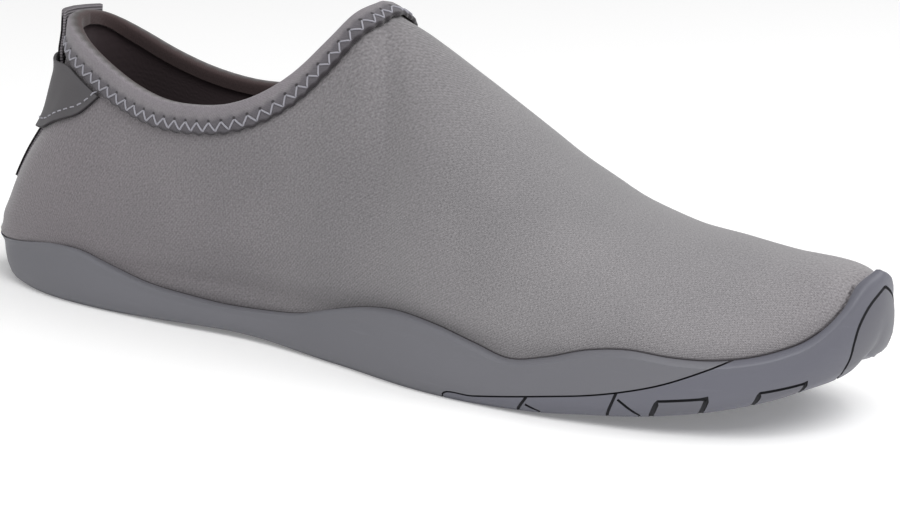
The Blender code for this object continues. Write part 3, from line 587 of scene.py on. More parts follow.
def uvToMm(piece):
    bm = bmesh.new()
    bm.from_mesh(piece.data)
    layer = bm.loops.layers.uv.active
    solid = sum(f.calc_area() for f in bm.faces)
    flat = 0.0
    for face in bm.faces:
        uv = [loop[layer].uv for loop in face.loops]
        flat += abs(sum(a.x * b.y - b.x * a.y for a, b in zip(uv, uv[1:] + uv[:1]))) / 2
    factor = math.sqrt(solid / flat) / mm
    for face in bm.faces:
        for loop in face.loops:
            loop[layer].uv *= factor
    bm.to_mesh(piece.data)
    bm.free()


def onHeelLine(edge):
    middle = -last["centre"][1] * mm
    return all(abs(v.co.y - middle) < 0.00002 and v.co.x < -0.09 for v in edge.verts)


def cornerLayer(piece, name, values, closedRound=True):  # a value per grid point, kept as UVs
    layer = piece.data.uv_layers.new(name=name)
    values = (np.concatenate([values, values[:1]]) if closedRound else values).ravel()
    corner = np.zeros(len(piece.data.loops), dtype=int)
    piece.data.loops.foreach_get("vertex_index", corner)
    values = np.column_stack([values[corner], np.zeros(len(corner))])
    layer.data.foreach_set("uv", values.ravel())
    piece.data.uv_layers.active_index = 0


def upperSkin(tree, uv, coords, colour, height):  # painted shade and light along the shoe, and a painted shade line against the sole
    along = splitVector(tree, coords)[0]
    along = doMath(tree, "MULTIPLY_ADD", along, 1000.0, last["centre"][0])
    colour = mixColours(tree, 1.0, colour, colourRamp(tree, along, upperCloth["shade"]), "MULTIPLY")
    # painted shade: the cloth darkened close to the sole's brim
    away = remap(tree, readLayer(tree, "rim"), 0.35, 1.2, 0.12)
    return mixColours(tree, away, upperCloth["rim"], colour), height


def liningSkin(tree, uv, coords, colour, height):  # smooth heel panel, fluffy pile in front
    fluff = addNoise(tree, coords, 420, 4)["Fac"]
    tufts = remap(tree, fluff, 0.56, 0.72, 0.0, 0.6)
    along, seam = splitVector(tree, coords)[0], upperCloth["liningSeam"]
    front = remap(tree, along, seam, seam + 0.0006)
    colour = mixColours(tree, tufts, colour, upperCloth["fluff"])
    height = doMath(tree, "MULTIPLY_ADD", doMath(tree, "MULTIPLY", fluff, 3.0), front,
                    doMath(tree, "MULTIPLY", height, 0.15))
    groove = doMath(tree, "COMPARE", along, seam, 0.0005)
    height = doMath(tree, "MULTIPLY_ADD", groove, -1.5, height)
    return mixColours(tree, front, upperCloth["heelLining"], colour), height


def rimDistance():  # from the sole's brim up the cloth, in widths of the painted shade line there
    level = soleTop - 0.3
    edge = np.column_stack([ribAt(np.maximum(level, footbed + last["gap"])), level])
    away = np.array([np.linalg.norm(rib[:, None] - edge, axis=2).min(axis=1) for rib in ribs])
    # the toe's ribs dip below the brim again, so nothing counts as hidden there
    hidden = (ribs[:, :, 2] < level[:, None]) & (ringShare < 0.93)[:, None]
    width = np.interp(ringShare, (0, 0.55, 0.75, 1), (0.18, 0.25, 0.6, 0.8))
    return np.where(hidden, -away, away) / width[:, None]


def makeUpper():
    piece = layGrid("upperKnit", clothGrid, closedRound=True)
    cornerLayer(piece, "rim", rimDistance())
    joinDoubles(piece)
    selectEdges(piece, onHeelLine)
    bpy.ops.mesh.mark_seam(clear=False)
    bpy.ops.mesh.select_all(action="SELECT")
    bpy.ops.uv.unwrap(method="ANGLE_BASED", margin=0.001)
    bpy.ops.object.mode_set(mode="OBJECT")
    uvToMm(piece)
    cloth = clothMaterial("upperKnit", upperCloth["tones"], pitch=1.0, fleck=0.36, sheen=0.42,
                          extra=upperSkin)
    lining = clothMaterial("liningFleece", upperCloth["lining"], pitch=1.4, fleck=0.12, bump=0.6,
                           sheen=0.1, weave=0.0, wander=2.4, cloudSize=60, extra=liningSkin)
    giveMaterials(piece, cloth, lining)
    applyModifier(piece, "SOLIDIFY", thickness=upperCloth["wall"] * mm, offset=-1.0,
                  material_offset=1, material_offset_rim=1)
    smoothShade(piece, 60)
    finishPiece(piece, upperCloth["slot"], "upper")


makeUpper()


# sole: foam heel and waist with a rubber forefoot, cut from one form
soleLook = {
    # share of the way round, then the radius of the brim there
    "rim": ((0, 0.3, 0.48, 0.62, 0.9, 1), (0.42, 0.5, 0.6, 1.15, 1.25, 1.0)),
    "foam": ((0.14, 0.14, 0.156), (0.158, 0.158, 0.176)),
    "rubber": ((0.123, 0.124, 0.149), (0.143, 0.144, 0.172)),
    "groove": ((0.02, 0.02, 0.024), (0.03, 0.03, 0.034)), "panel": (0.124, 0.124, 0.144),
    "edgeWall": ((0, 0.12, 0.3, 1), (0.5, 0.6, 1.1, 1.1)),
    "levels": (0, 0.035, 0.09, 0.17, 0.28, 0.38, 0.5, 0.62, 0.74, 0.84, 0.91),
    "markDepth": 0.8, "sideLength": 330.0, "wallHeight": 30.0,
}
wallFace = columns("height inset", (1, 1), [
    (0, 2.6), (0.09, 0.9), (0.28, 0), (0.62, 0.3), (0.86, 1), (0.94, 0.9), (1, 1.5),
])
jointLine = columns("reach height", (last["length"], last["bumper"]), [
    (0.6228, -0.0679), (0.6263, 0.0271), (0.6619, 0.0656), (0.7011, 0.1086), (0.7402, 0.1538),
    (0.7794, 0.1991), (0.8149, 0.2557), (0.8452, 0.319), (0.8719, 0.3959), (0.9004, 0.4977),
    (0.9324, 0.6787), (0.968, 1.3575),
])
# lines sunk in the wall: width mm, then share of the way round and share of the wall height
soleMarks = [
    (0.8, [(0.679, 0.32), (0.670, 0.03)]), (0.7, [(0.678, 0.17), (0.689, 0.04)]),
    (0.8, [(0.756, 0.42), (0.748, 0.03)]), (0.7, [(0.757, 0.30), (0.775, 0.04)]),
    (1.4, [(0.785, 0.03), (0.790, 0.30), (0.830, 0.34), (0.826, 0.03)]),
    (1.4, [(0.869, 0.03), (0.873, 0.31), (0.914, 0.25), (0.911, 0.03)]),
    (0.9, [(0.955, 0.03), (0.954, 0.14), (0.957, 0.27), (0.959, 0.48), (0.964, 0.64),
           (0.974, 0.735), (0.987, 0.79), (1.0, 0.815), (1.013, 0.79), (1.026, 0.735),
           (1.036, 0.64), (1.041, 0.48), (1.043, 0.27), (1.046, 0.14), (1.045, 0.03)]),
]
treadChannels = columns("reach half swing", (last["length"], last["ballWidth"], 1), [
    (0.0854, 0.1771, 5), (0.1246, 0.2188, -5), (0.1637, 0.2292, 5), (0.2028, 0.2188, -5),
    (0.4875, 0.2604, -6), (0.5302, 0.3021, 6), (0.573, 0.3333, -6), (0.6619, 0.3542, 6),
    (0.7011, 0.3542, -6), (0.7402, 0.3438, 6),
])


rimRadius = np.interp(ringShare, *soleLook["rim"])


def wallPoint(share, round=0.0):
    height = soleLow + (soleTop - soleLow) * share
    if round:
        height = soleTop - rimRadius * (1 - math.sin(round))
        share = (height - soleLow) / (soleTop - soleLow)
    inset = readSmooth(wallFace, "height", "inset", share * np.ones(ring))
    for name, part in (("low", 1 - share), ("high", share)):
        inset = inset + readSmooth(endLean, "share", name, ringShare) * part ** 2
    place = plan - outward * inset[:, None]
    rib = ribAt(np.maximum(height, footbed + last["gap"]))
    spare = np.sum((place - rib) * outward, axis=1)
    least = last["gap"] + np.interp(ringShare, *soleLook["edgeWall"])
    place = place + outward * np.clip(least - spare, 0, None)[:, None]
    if round:
        place = place - outward * (rimRadius * (1 - math.cos(round)))[:, None]
    return np.column_stack([place, height])


def middleOf(points, share):  # between a point and the one across from it
    across = points[(-np.arange(ring)) % ring]
    return points * (1 - share / 2) + across * share / 2


def soleGrid():
    lean = readSmooth(endLean, "share", "low", ringShare)[:, None]
    under = np.column_stack([plan - outward * (wallFace["inset"][0] + lean + 4), soleLow])
    rings = [middleOf(under, share) for share in (1, 0.8, 0.5, 0.2)] + [under]
    rings += [wallPoint(level) for level in soleLook["levels"]]
    rings += [wallPoint(1, a) for a in (0.15, 0.6, 1.05, 1.5)]
    clear = last["gap"] + 0.4 * np.clip((ringShare - 0.9) / 0.06, 0, 1)
    brink = np.maximum(soleTop - 1.2, footbed + 0.5)
    for height in (np.maximum(soleTop - 0.25, footbed + 0.5), brink,
                   brink * 0.64 + footbed * 0.36, brink * 0.3 + footbed * 0.7, footbed):
        rib = ribAt(np.maximum(height, footbed + last["gap"]))
        rings.append(np.column_stack([rib + outward * clear[:, None], height]))
    rings += [middleOf(rings[-1], 0.4), middleOf(rings[-1], 1)]
    return np.array(rings).transpose(1, 0, 2)


def patchDistance(grid):  # how far inside a sunk outline each point of the wall is, in mm
    level = grid[:, :, 2] - soleLow[:, None]
    around = np.arange(ring)[:, None] / rows * soleLook["sideLength"]
    spots = np.stack(np.broadcast_arrays(around, level), axis=2)
    best = np.full(level.shape, -50.0)
    for _, path in soleMarks[4:]:
        for mirror in (False, True):
            corners = []
            for s, h in path:
                s = 2 - s if mirror else s
                column = int(round(s * rows)) % ring
                corners.append((s * soleLook["sideLength"], h * (soleTop - soleLow)[column]))
            best = np.maximum(best, insidePolygon(spots, corners))
    return best


def insidePolygon(spots, corners):
    corners = np.array(corners)
    inside = np.zeros(spots.shape[:2], dtype=bool)
    gap = np.full(spots.shape[:2], 50.0)
    for a, b in zip(corners, np.roll(corners, -1, axis=0)):
        crosses = (a[1] > spots[..., 1]) != (b[1] > spots[..., 1])
        slope = (b[0] - a[0]) / (b[1] - a[1]) if b[1] != a[1] else 0.0
        inside ^= crosses & (spots[..., 0] < slope * (spots[..., 1] - a[1]) + a[0])
        leg = b - a
        t = np.clip(((spots - a) @ leg) / (leg @ leg), 0, 1)
        gap = np.minimum(gap, np.linalg.norm(spots - a - t[..., None] * leg, axis=2))
    return np.where(inside, gap, -gap)


def prismBlock(name, line, depth):  # an outline in the side view, made solid
    bpy.ops.object.select_all(action="DESELECT")
    bpy.ops.mesh.primitive_circle_add(vertices=len(line), radius=1, fill_type="NGON")
    piece = bpy.context.object
    piece.name = piece.data.name = name
    for vertex, (x, z) in zip(piece.data.vertices, line):
        vertex.co = Vector((x - last["centre"][0], 0.0, z)) * mm
    applyModifier(piece, "SOLIDIFY", thickness=2 * depth * mm, offset=0)
    openMesh(piece)
    closeMesh()
    return piece


def jointBlock(name, shift):
    where = pathLength(np.column_stack([jointLine["reach"], jointLine["height"]]))
    data = {"t": where, "x": jointLine["reach"], "z": jointLine["height"]}
    t = np.linspace(0, where[-1], 90)
    line = np.column_stack([readSmooth(data, "t", k, t) for k in "xz"])
    normal = unit(np.gradient(line, axis=0))
    line = line + np.column_stack([normal[:, 1], -normal[:, 0]]) * shift
    front = [(last["length"] + 40, 60.0), (last["length"] + 40, -3.0)]
    return prismBlock(name, list(line) + front, 80.0)


def ringPlace(share, height, mirror):  # a point of the wall and the way out of it
    place = (2 - share if mirror else share) * rows
    low = int(math.floor(place))
    blend = place - low
    a, b = low % ring, (low + 1) % ring
    wall = wallPoint(height)
    point = wall[a] * (1 - blend) + wall[b] * blend
    return point, unit(np.append(outward[a] * (1 - blend) + outward[b] * blend, 0.0))


def markTube(name, path, width, mirror):
    # round-bottomed bar along a line on the wall; the top of a window is thinner than its legs
    legs, thick = [], []
    window = len(path) == 4
    if len(path) > 4:
        knots = np.array(path)
        where = pathLength(knots * [soleLook["sideLength"], soleLook["wallHeight"]])
        data = {"t": where, "share": knots[:, 0], "height": knots[:, 1]}
        at = np.linspace(0, where[-1], 70)
        path = list(zip(*(readSmooth(data, "t", name, at) for name in ("share", "height"))))
    for number, ((s0, h0), (s1, h1)) in enumerate(zip(path, path[1:])):
        parts = max(1, int(round(abs(s1 - s0) / 0.006 + abs(h1 - h0) / 0.06)))
        legs += [(s0 + (s1 - s0) * k / parts, h0 + (h1 - h0) * k / parts) for k in range(parts)]
        thick += [0.55 if window and number == 1 else 1.0] * parts
    legs.append(path[-1])
    if path[0][1] < 0.05:  # runs out at the tread
        legs.insert(0, (path[0][0], -0.03))
        thick.insert(0, 1.0)
    if path[-1][1] < 0.05:
        legs.append((path[-1][0], -0.03))
    thick += [1.0] * (len(legs) - len(thick))
    points, away = (np.array(v) for v in zip(*(ringPlace(s, h, mirror) for s, h in legs)))
    half = np.array(thick)[:, None] * width / 2
    side = unit(np.cross(unit(np.gradient(points, axis=0)), away)) * half
    depth = soleLook["markDepth"]
    profile = [(1, 1.5), (1, -0.3 * depth), (0.7, -0.8 * depth), (0, -depth),
               (-0.7, -0.8 * depth), (-1, -0.3 * depth), (-1, 1.5), (1, 1.5)]
    grid = np.array([points + side * a + away * b for a, b in profile]).transpose(1, 0, 2)
    piece = layGrid(name, grid)
    joinDoubles(piece)
    return capEnds(piece)


def channelBar(name, reach, half, swing):  # across the tread, its bevelled top upward
    turn = math.radians(swing)
    along = np.array([math.sin(turn), math.cos(turn), 0.0])
    across = np.array([math.cos(turn), -math.sin(turn), 0.0])
    middle = np.array([reach, last["centre"][1], 0.0])
    profile = [(-1.9, -2.0), (-1.5, 0.9), (-0.9, 1.5), (0.9, 1.5), (1.5, 0.9), (1.9, -2.0),
               (-1.9, -2.0)]
    grid = np.array([[middle + along * s + across * a + [0, 0, z] for a, z in profile]
                     for s in np.linspace(-half, half, 12)])
    piece = layGrid(name, grid)
    joinDoubles(piece)
    return capEnds(piece)


def cutWith(piece, cutters, operation, materials):
    for cutter in cutters:
        giveMaterials(cutter, *materials)
        for polygon in cutter.data.polygons:
            polygon.material_index = 1
    cutter = cutters[0]
    only(cutter)
    for other in cutters[1:]:
        other.select_set(True)
    if len(cutters) > 1:
        bpy.ops.object.join()
    applyModifier(piece, "BOOLEAN", operation=operation, solver="EXACT", object=cutter,
                  material_mode="INDEX", use_self=len(cutters) > 1)
    bpy.data.objects.remove(cutter, do_unlink=True)


def soleSkin(tree, colour):  # neutral panels inside the sunk outlines
    inside = remap(tree, readLayer(tree, "panel"), -0.2, 0.2)
    return mixColours(tree, inside, colour, soleLook["panel"])


def soleForm(name):
    grid = soleGrid()
    piece = layGrid(name, grid, closedRound=True)
    cornerLayer(piece, "panel", patchDistance(grid))
    joinDoubles(piece)
    return piece


def makeSole():
    groove = rubberMaterial("soleGroove", *soleLook["groove"], roughness=0.8)
    foam = rubberMaterial("soleFoam", *soleLook["foam"], size=0.7, bump=0.07, roughness=0.52)
    rubber = rubberMaterial("soleRubber", *soleLook["rubber"], size=0.5, bump=0.06, roughness=0.46,
                            extra=soleSkin)
    midsole, outsole = soleForm("soleFoam"), soleForm("soleRubber")
    giveMaterials(midsole, foam, groove)
    giveMaterials(outsole, rubber, groove)
    cutWith(midsole, [jointBlock("jointBack", 0.0)], "DIFFERENCE", (foam, groove))
    cutWith(outsole, [jointBlock("jointFront", 1.5 * last["gap"])], "INTERSECT", (rubber, groove))
    bars = {midsole: [], outsole: []}
    for number, row in enumerate(zip(*treadChannels.values())):
        target = midsole if row[0] < jointLine["reach"][0] else outsole
        bars[target].append(channelBar(f"channel{number}", *row))
    cutWith(midsole, bars[midsole], "DIFFERENCE", (foam, foam))
    cutWith(outsole, bars[outsole], "DIFFERENCE", (rubber, rubber))
    for mirror in (False, True):
        marks = soleMarks[:-1] if mirror else soleMarks
        tubes = [markTube(f"mark{k}", path, width, mirror)
                 for k, (width, path) in enumerate(marks)]
        cutWith(outsole, tubes, "DIFFERENCE", (rubber, groove))
    for piece, node in ((midsole, "midsole"), (outsole, "outsole")):
        smoothShade(piece, 35)
        finishPiece(piece, node, node)


makeSole()


def clothSurface():  # the upper's outer face, to find the nearest cloth
    faces = []
    for j in range(ring):
        k = (j + 1) % ring
        for i in range(rise):
            a, b = j * (rise + 1) + i, k * (rise + 1) + i
            faces.append((a, b, b + 1, a + 1))
    return BVHTree.FromPolygons([Vector(p) for p in clothGrid.reshape(-1, 3)], faces)


clothTree = clothSurface()


def resampleLoop(points, count):
    closed = np.vstack([points, points[:1]])
    length = pathLength(closed)
    at = np.linspace(0, length[-1], count, endpoint=False)
    return alongPath(at, length, closed), length[-1]


def softenLoop(values, times):
    for _ in range(times):
        values = (np.roll(values, 1, axis=0) + 2 * values + np.roll(values, -1, axis=0)) / 4
    return values


# collar: a folded band with a zigzag seam
collarLook = {
    "slot": "collar_binding", "count": 648, "depths": (0.8, 2.0, 3.4, 4.6, 5.8, 6.7, 7.4),
    "wall": 1.1, "periods": 72, "seam": (3.7, 6.3), "threadRadius": 0.27, "perLeg": 6,
    "tones": ((0.225, 0.21, 0.225), (0.255, 0.238, 0.252)),
    "thread": (0.33, 0.325, 0.365),
    # shade over the tape, mm from its lower edge: painted shadow at the edge, darker seam, painted
    # highlight on the fold, painted shade on the inner face
    "shade": [(0.0, (0.12, 0.11, 0.12)), (1.0, (0.14, 0.13, 0.14)), (1.7, (0.42, 0.42, 0.44)),
              (4.7, (0.51, 0.51, 0.53)), (6.0, (0.86, 0.86, 0.86)), (9.0, (0.97, 0.95, 0.97)),
              (10.0, (0.62, 0.62, 0.6)), (11.0, (0.32, 0.31, 0.29)), (12.2, (0.24, 0.17, 0.16)),
              (24.0, (0.24, 0.16, 0.15))],
}


def collarFrames():
    edge = np.concatenate([clothGrid[: throatRow + 1, -1], clothGrid[: -throatRow: -1, -1][::-1]])
    edge, around = resampleLoop(edge, collarLook["count"])
    edge = softenLoop(edge, 6)
    along = unit(softenLoop(np.roll(edge, -1, axis=0) - np.roll(edge, 1, axis=0), 8))
    centre = edge.mean(axis=0)
    inside = np.array([last["throatReach"] * 0.62, 0.0, 60.0])
    flat = unit((edge - centre) * [1, 1, 0])
    down = unit(np.cross(along, np.cross([0, 0, -1.0], along)) + 0.15 * flat)
    hits = np.zeros((len(collarLook["depths"]), len(edge), 3))
    normals = np.zeros_like(hits)
    place, depth = edge.copy(), 0.0
    for level, wanted in enumerate(collarLook["depths"]):
        for j in range(len(edge)):
            reach = place[j] + down[j] * (wanted - depth)
            hit, normal = (np.array(v) for v in clothTree.find_nearest(Vector(reach))[:2])
            hits[level, j] = hit
            normals[level, j] = normal * np.sign(np.dot(normal, hit - inside))
        hits[level] = softenLoop(hits[level], 3)
        normals[level] = unit(softenLoop(normals[level], 8))
        if wanted - depth > 0.9:
            down = unit(hits[level] - place)
        place, depth = hits[level], wanted
    return edge, hits, normals, around


def overAt(hits, normals, depth):  # points and normals on the cloth at a depth below the edge
    depths = np.array(collarLook["depths"])
    i = int(np.clip(np.searchsorted(depths, depth) - 1, 0, len(depths) - 2))
    t = (depth - depths[i]) / (depths[i + 1] - depths[i])
    return hits[i] * (1 - t) + hits[i + 1] * t, unit(normals[i] * (1 - t) + normals[i + 1] * t)


def easeAt(edge):  # the band stands a little off the cloth over the instep
    front = np.clip((edge[:, :1] - 0.84 * last["throatReach"]) / 14, 0, 1)
    return last["gap"] + 0.6 * front


def collarSections(edge, hits, normals):
    # round the band: lower edge, outer face, the fold over the top, then the inner face and back
    wall, gap = collarLook["wall"], last["gap"]
    inside = upperCloth["wall"] + gap
    deep = inside + wall
    ease = easeAt(edge)
    count = collarLook["count"]
    scallop = 0.22 * np.cos(2 * math.pi * collarLook["periods"] * np.arange(count) / count)[:, None]
    n0, n1, n2, n4 = (normals[k] for k in (0, 1, 2, 4))
    up = unit(edge - hits[2])
    low, lean = overAt(hits, normals, collarLook["depths"][-1])
    downward = unit(hits[-1] - hits[-2])
    low = low + downward * (scallop - 0.2)
    loops = [low + lean * ease, low + lean * (ease + 0.45 * wall),
             low - downward * 0.28 + lean * (ease + 0.85 * wall)]
    for depth, lift in ((6.7, 0.98), (6.0, 0.9), (5.0, 1.0), (4.1, 0.9), (3.4, 1.0), (2.2, 1.04),
                        (0.9, 1)):
        spot, normal = overAt(hits, normals, depth)
        loops.append(spot + normal * (ease + wall * lift))
    half = (ease + wall + deep) / 2
    middle = edge + n0 * (half - deep)
    for angle in np.radians([18, 38, 60, 82, 105, 128, 150, 168]):
        across = math.copysign(abs(math.cos(angle)) ** 0.8, math.cos(angle))
        loops.append(middle + n0 * half * across + up * (gap + wall) * math.sin(angle) ** 0.8)
    loops += [hits[0] - n0 * deep, hits[1] - n1 * deep,
              hits[1] - up * 0.7 - n1 * deep, hits[1] - up * 0.9 - n1 * (inside + 0.5 * wall),
              hits[1] - up * 0.7 - n1 * inside, hits[1] - n1 * inside, hits[0] - n0 * inside,
              edge - n0 * inside + up * gap, edge + n0 * ease + up * gap,
              hits[0] + n0 * ease, hits[2] + n2 * ease, hits[4] + n4 * ease]
    return np.array(loops + loops[:1]).transpose(1, 0, 2)


def threadTube(name, path, normals, radius, material, slotName, closed=True):
    run = np.gradient(path, axis=0)
    if closed:
        run = np.roll(path, -1, axis=0) - np.roll(path, 1, axis=0)
    side = unit(np.cross(unit(run), normals))
    up = unit(np.cross(side, unit(run)))
    angles = np.linspace(0, 2 * math.pi, 8)
    grid = np.array([path + (side * math.cos(a) + up * math.sin(a)) * radius for a in angles])
    piece = layGrid(name, grid.transpose(1, 0, 2), closedRound=closed)
    joinDoubles(piece)
    giveMaterials(piece, material)
    smoothShade(piece, 80)
    finishPiece(piece, slotName)


def bindingSkin(tree, uv, coords, colour, height):  # painted shadow, highlight and shade across its width, with needle holes
    along, over, _ = splitVector(tree, uv)
    beside = doMath(tree, "PINGPONG", along, collarPeriod / 2)
    above = doMath(tree, "SUBTRACT", over, collarLook["depths"][-1] - collarLook["seam"][0] + 1.0)
    spot = doMath(tree, "SQRT", doMath(tree, "ADD", doMath(tree, "MULTIPLY", beside, beside),
                                       doMath(tree, "MULTIPLY", above, above)))
    hole = remap(tree, spot, 0.3, 0.62, 1.0, 0.0)
    wave = doMath(tree, "SINE", doMath(tree, "MULTIPLY", along, 2 * math.pi / collarPeriod))
    shade = colourRamp(tree, doMath(tree, "MULTIPLY_ADD", wave, 0.25, over), collarLook["shade"])
    colour = mixColours(tree, 1.0, colour, shade, "MULTIPLY")
    colour = mixColours(tree, hole, colour, (0.04, 0.036, 0.04))
    return colour, doMath(tree, "MULTIPLY_ADD", hole, -2.0, height)


def seamPath(edge, hits, normals):  # the zigzag of the thread, and the way out of the band
    count, perLeg, wall = collarLook["count"], collarLook["perLeg"], collarLook["wall"]
    high, low = collarLook["seam"]
    legs = collarLook["periods"] * 2
    ease = easeAt(edge)
    levels = [overAt(hits, normals, high + (low - high) * k / perLeg) for k in range(perLeg + 1)]
    path, away = [], []
    for leg in range(legs):
        for step in range(perLeg):
            where = (leg + step / perLeg) / legs * count
            a, t = int(where) % count, where - int(where)
            b = (a + 1) % count
            spots, leans = levels[step if leg % 2 == 0 else perLeg - step]
            normal = unit(leans[a] * (1 - t) + leans[b] * t)
            lift = 0.16 * math.sin(math.pi * step / perLeg) ** 0.5 - 0.3 * (step == 0)
            spot = spots[a] * (1 - t) + spots[b] * t
            path.append(spot + normal * (ease[a] + wall * 0.97 + lift))
            away.append(normal)
    return np.array(path), np.array(away)


collarParts = collarFrames()
collarPeriod = collarParts[3] / collarLook["periods"]


def makeCollar():
    *band, around = collarParts
    sections = collarSections(*band)
    count, across = sections.shape[:2]
    steps = np.linalg.norm(np.diff(sections, axis=1), axis=2).mean(axis=0)
    uvs = np.zeros((count + 1, across, 2))
    uvs[:, :, 0] = (np.arange(count + 1) / count * around)[:, None]
    uvs[:, :, 1] = np.r_[0, np.cumsum(steps)]
    piece = layGrid("collarBinding", sections, uvs, closedRound=True)
    joinDoubles(piece)
    giveMaterials(piece, clothMaterial("bindingKnit", collarLook["tones"], pitch=0.75, bump=0.12,
                                       fleck=0.16, extra=bindingSkin))
    smoothShade(piece, 60)
    finishPiece(piece, collarLook["slot"], "collar_binding")
    threadTube("collarSeam", *seamPath(*band), collarLook["threadRadius"], thread,
               collarLook["slot"])


thread = clothMaterial("seamThread", (collarLook["thread"], collarLook["thread"]), pitch=0.5,
                       bump=0.05, fleck=0.1, sheen=0.3)
makeCollar()


# heel: smooth overlay with a row of stitches, and the webbing of the pull loop
heelLook = {
    "patchSlot": "heel_patch", "strapSlot": "pull_strap", "patchWall": 0.8, "patchColumns": 32,
    # the patchEdge colour is painted shadow, a dark band along the patch's lower edge
    "patch": ((0.076, 0.072, 0.078), (0.09, 0.085, 0.09)), "patchEdge": (0.016, 0.013, 0.016),
    # the loop tone is painted light: the webbing paler over its lit crown
    "strap": ((0.009, 0.007, 0.009), (0.014, 0.011, 0.013)), "loopTone": (0.27, 0.25, 0.27),
    "width": 19.0, "strapWall": 0.7, "eye": 0.03, "loop": 1.9, "low": 0.36, "high": 0.945,
    "cover": (9.9, 16.5), "dip": 3.0, "stitchLong": 2.9, "stitchIn": 3.0, "belowBand": 1.3,
    "ribPitch": 0.85,
}
patchEdge = columns("share low", (1, last["throatHeight"]), [
    (0, 0.4641), (0.0417, 0.4673), (0.0625, 0.4747), (0.0833, 0.4905), (0.1042, 0.5169),
    (0.125, 0.538), (0.1458, 0.5654), (0.1667, 0.6287),
])


def strapLift(height):  # close to the cloth low down, outside the binding above
    edge = collarLine["height"][0]
    over = smoothStep((height - 0.785 * edge) / (0.095 * edge))
    return 0.12 + (collarLook["wall"] + 0.45) * over


def coverAt(across):  # 1 where the patch lies over the webbing
    near, far = heelLook["cover"]
    return smoothStep((far - np.abs(across)) / (far - near))


def patchGrid(lowIn, highIn, steps):  # rib by rib over the heel, lengths in mm
    normals = gridNormals(clothGrid)
    if np.sum(normals[5, rise // 3, :2] * outward[5]) < 0:
        normals = -normals
    half = heelLook["patchColumns"]
    grid, away = [], []
    for column in range(-half, half + 1):
        rib, lean = clothGrid[column], normals[column]
        length = pathLength(rib)
        edge = float(readSmooth(patchEdge, "share", "low", np.array(abs(column) / rows)))
        low = np.interp(edge, rib[:, 2], length) + lowIn
        high = length[-1] - collarLook["depths"][-1] - heelLook["belowBand"] - highIn
        high -= heelLook["dip"] * coverAt(np.interp(high, length, rib[:, 1]))
        where = np.linspace(low, high, steps)
        grid.append(alongPath(where, length, rib))
        away.append(alongPath(where, length, lean))
    grid, away = np.array(grid), unit(np.array(away))
    near = 2 * heelLook["strapWall"] + heelLook["eye"] + strapLift(grid[..., 2])
    near = 1.5 * last["gap"] + coverAt(grid[..., 1]) * near
    return grid + away * near[..., None], away


def patchEdgeShadow(tree, uv, coords, colour, height):  # painted shadow, a dark band along the bottom edge
    away = remap(tree, readLayer(tree, "hem"), 0.15, 0.6)
    return mixColours(tree, away, heelLook["patchEdge"], colour), height


def makeHeelPatch():
    grid, away = patchGrid(0.0, 0.0, 26)
    across = pathLength(grid[:, 13])
    uvs = np.zeros(grid.shape[:2] + (2,))
    uvs[:, :, 0] = (across - across[len(across) // 2])[:, None]
    uvs[:, :, 1] = grid[:, :, 2]
    piece = layGrid("heelPatch", grid + away * heelLook["patchWall"], uvs)
    steps = np.linalg.norm(np.diff(grid, axis=1), axis=2)
    hem = np.concatenate([np.zeros((len(grid), 1)), np.cumsum(steps, axis=1)], axis=1)
    cornerLayer(piece, "hem", hem, closedRound=False)
    giveMaterials(piece, clothMaterial("heelFilm", heelLook["patch"], pitch=0.6, bump=0.03,
                                       fleck=0.06, weave=0.03, sheen=0.1, roughness=0.6,
                                       extra=patchEdgeShadow))
    openMesh(piece)
    closeMesh()
    if piece.data.polygons[len(piece.data.polygons) // 2].normal.x > 0:
        piece.data.flip_normals()
    applyModifier(piece, "SOLIDIFY", thickness=heelLook["patchWall"] * mm, offset=-1.0)
    applyModifier(piece, "BEVEL", width=0.45 * mm, segments=3, limit_method="ANGLE",
                  angle_limit=math.radians(50))
    smoothShade(piece, 60)
    finishPiece(piece, heelLook["patchSlot"], "heel_patch")


def makePatchSeam():  # short dashes of thread, one tube that dives under between them
    grid, away = patchGrid(heelLook["stitchIn"], 3.0, 20)
    line, lean = grid[1:-1, 0], away[1:-1, 0]
    length = pathLength(line)
    stitches = int(length[-1] / heelLook["stitchLong"])
    at = np.linspace(0, length[-1], stitches * 10 + 1)
    path, lean = alongPath(at, length, line), unit(alongPath(at, length, lean))
    phase = np.arange(len(at)) % 10
    lift = np.choose(phase, (-0.5, -0.5, -0.28, 0.08, 0.13, 0.15, 0.13, 0.08, -0.28, -0.5))
    path = path + lean * (heelLook["patchWall"] + lift)[:, None]
    threadTube("heelSeam", path, lean, 0.22, thread, heelLook["patchSlot"], closed=False)


makeHeelPatch()
makePatchSeam()


def strapGrid():
    edge = collarLine["height"][0]
    strips = []
    for y in np.linspace(-heelLook["width"] / 2, heelLook["width"] / 2, 13):
        back, front = [], []
        for z in np.linspace(heelLook["low"] * edge, heelLook["high"] * edge, 34):
            hit, normal = clothTree.ray_cast(Vector((-70.0, y, z)), Vector((1.0, 0.0, 0.0)))[:2]
            flat = unit(np.array([normal[0], 0.0, normal[2]]))
            flat = -flat if flat[0] > 0 else flat
            lift = strapLift(z) / max(abs(np.dot(flat, normal)), 0.5) + heelLook["strapWall"]
            front.append(np.array(hit) + flat * lift)
            back.append(np.array(hit) + flat * (lift + heelLook["eye"]))
        start, end = back[-1], front[-1]
        crown = edge + heelLook["loop"]
        over = []
        for angle in np.linspace(0, math.pi, 20)[1:-1]:
            base = start + (end - start) * (1 - math.cos(angle)) / 2
            over.append(base + [0, 0, (crown - base[2]) * math.sin(angle) ** 0.8])
        strips.append(np.vstack([back, over, front[::-1]]))
    return np.array(strips).transpose(1, 0, 2)


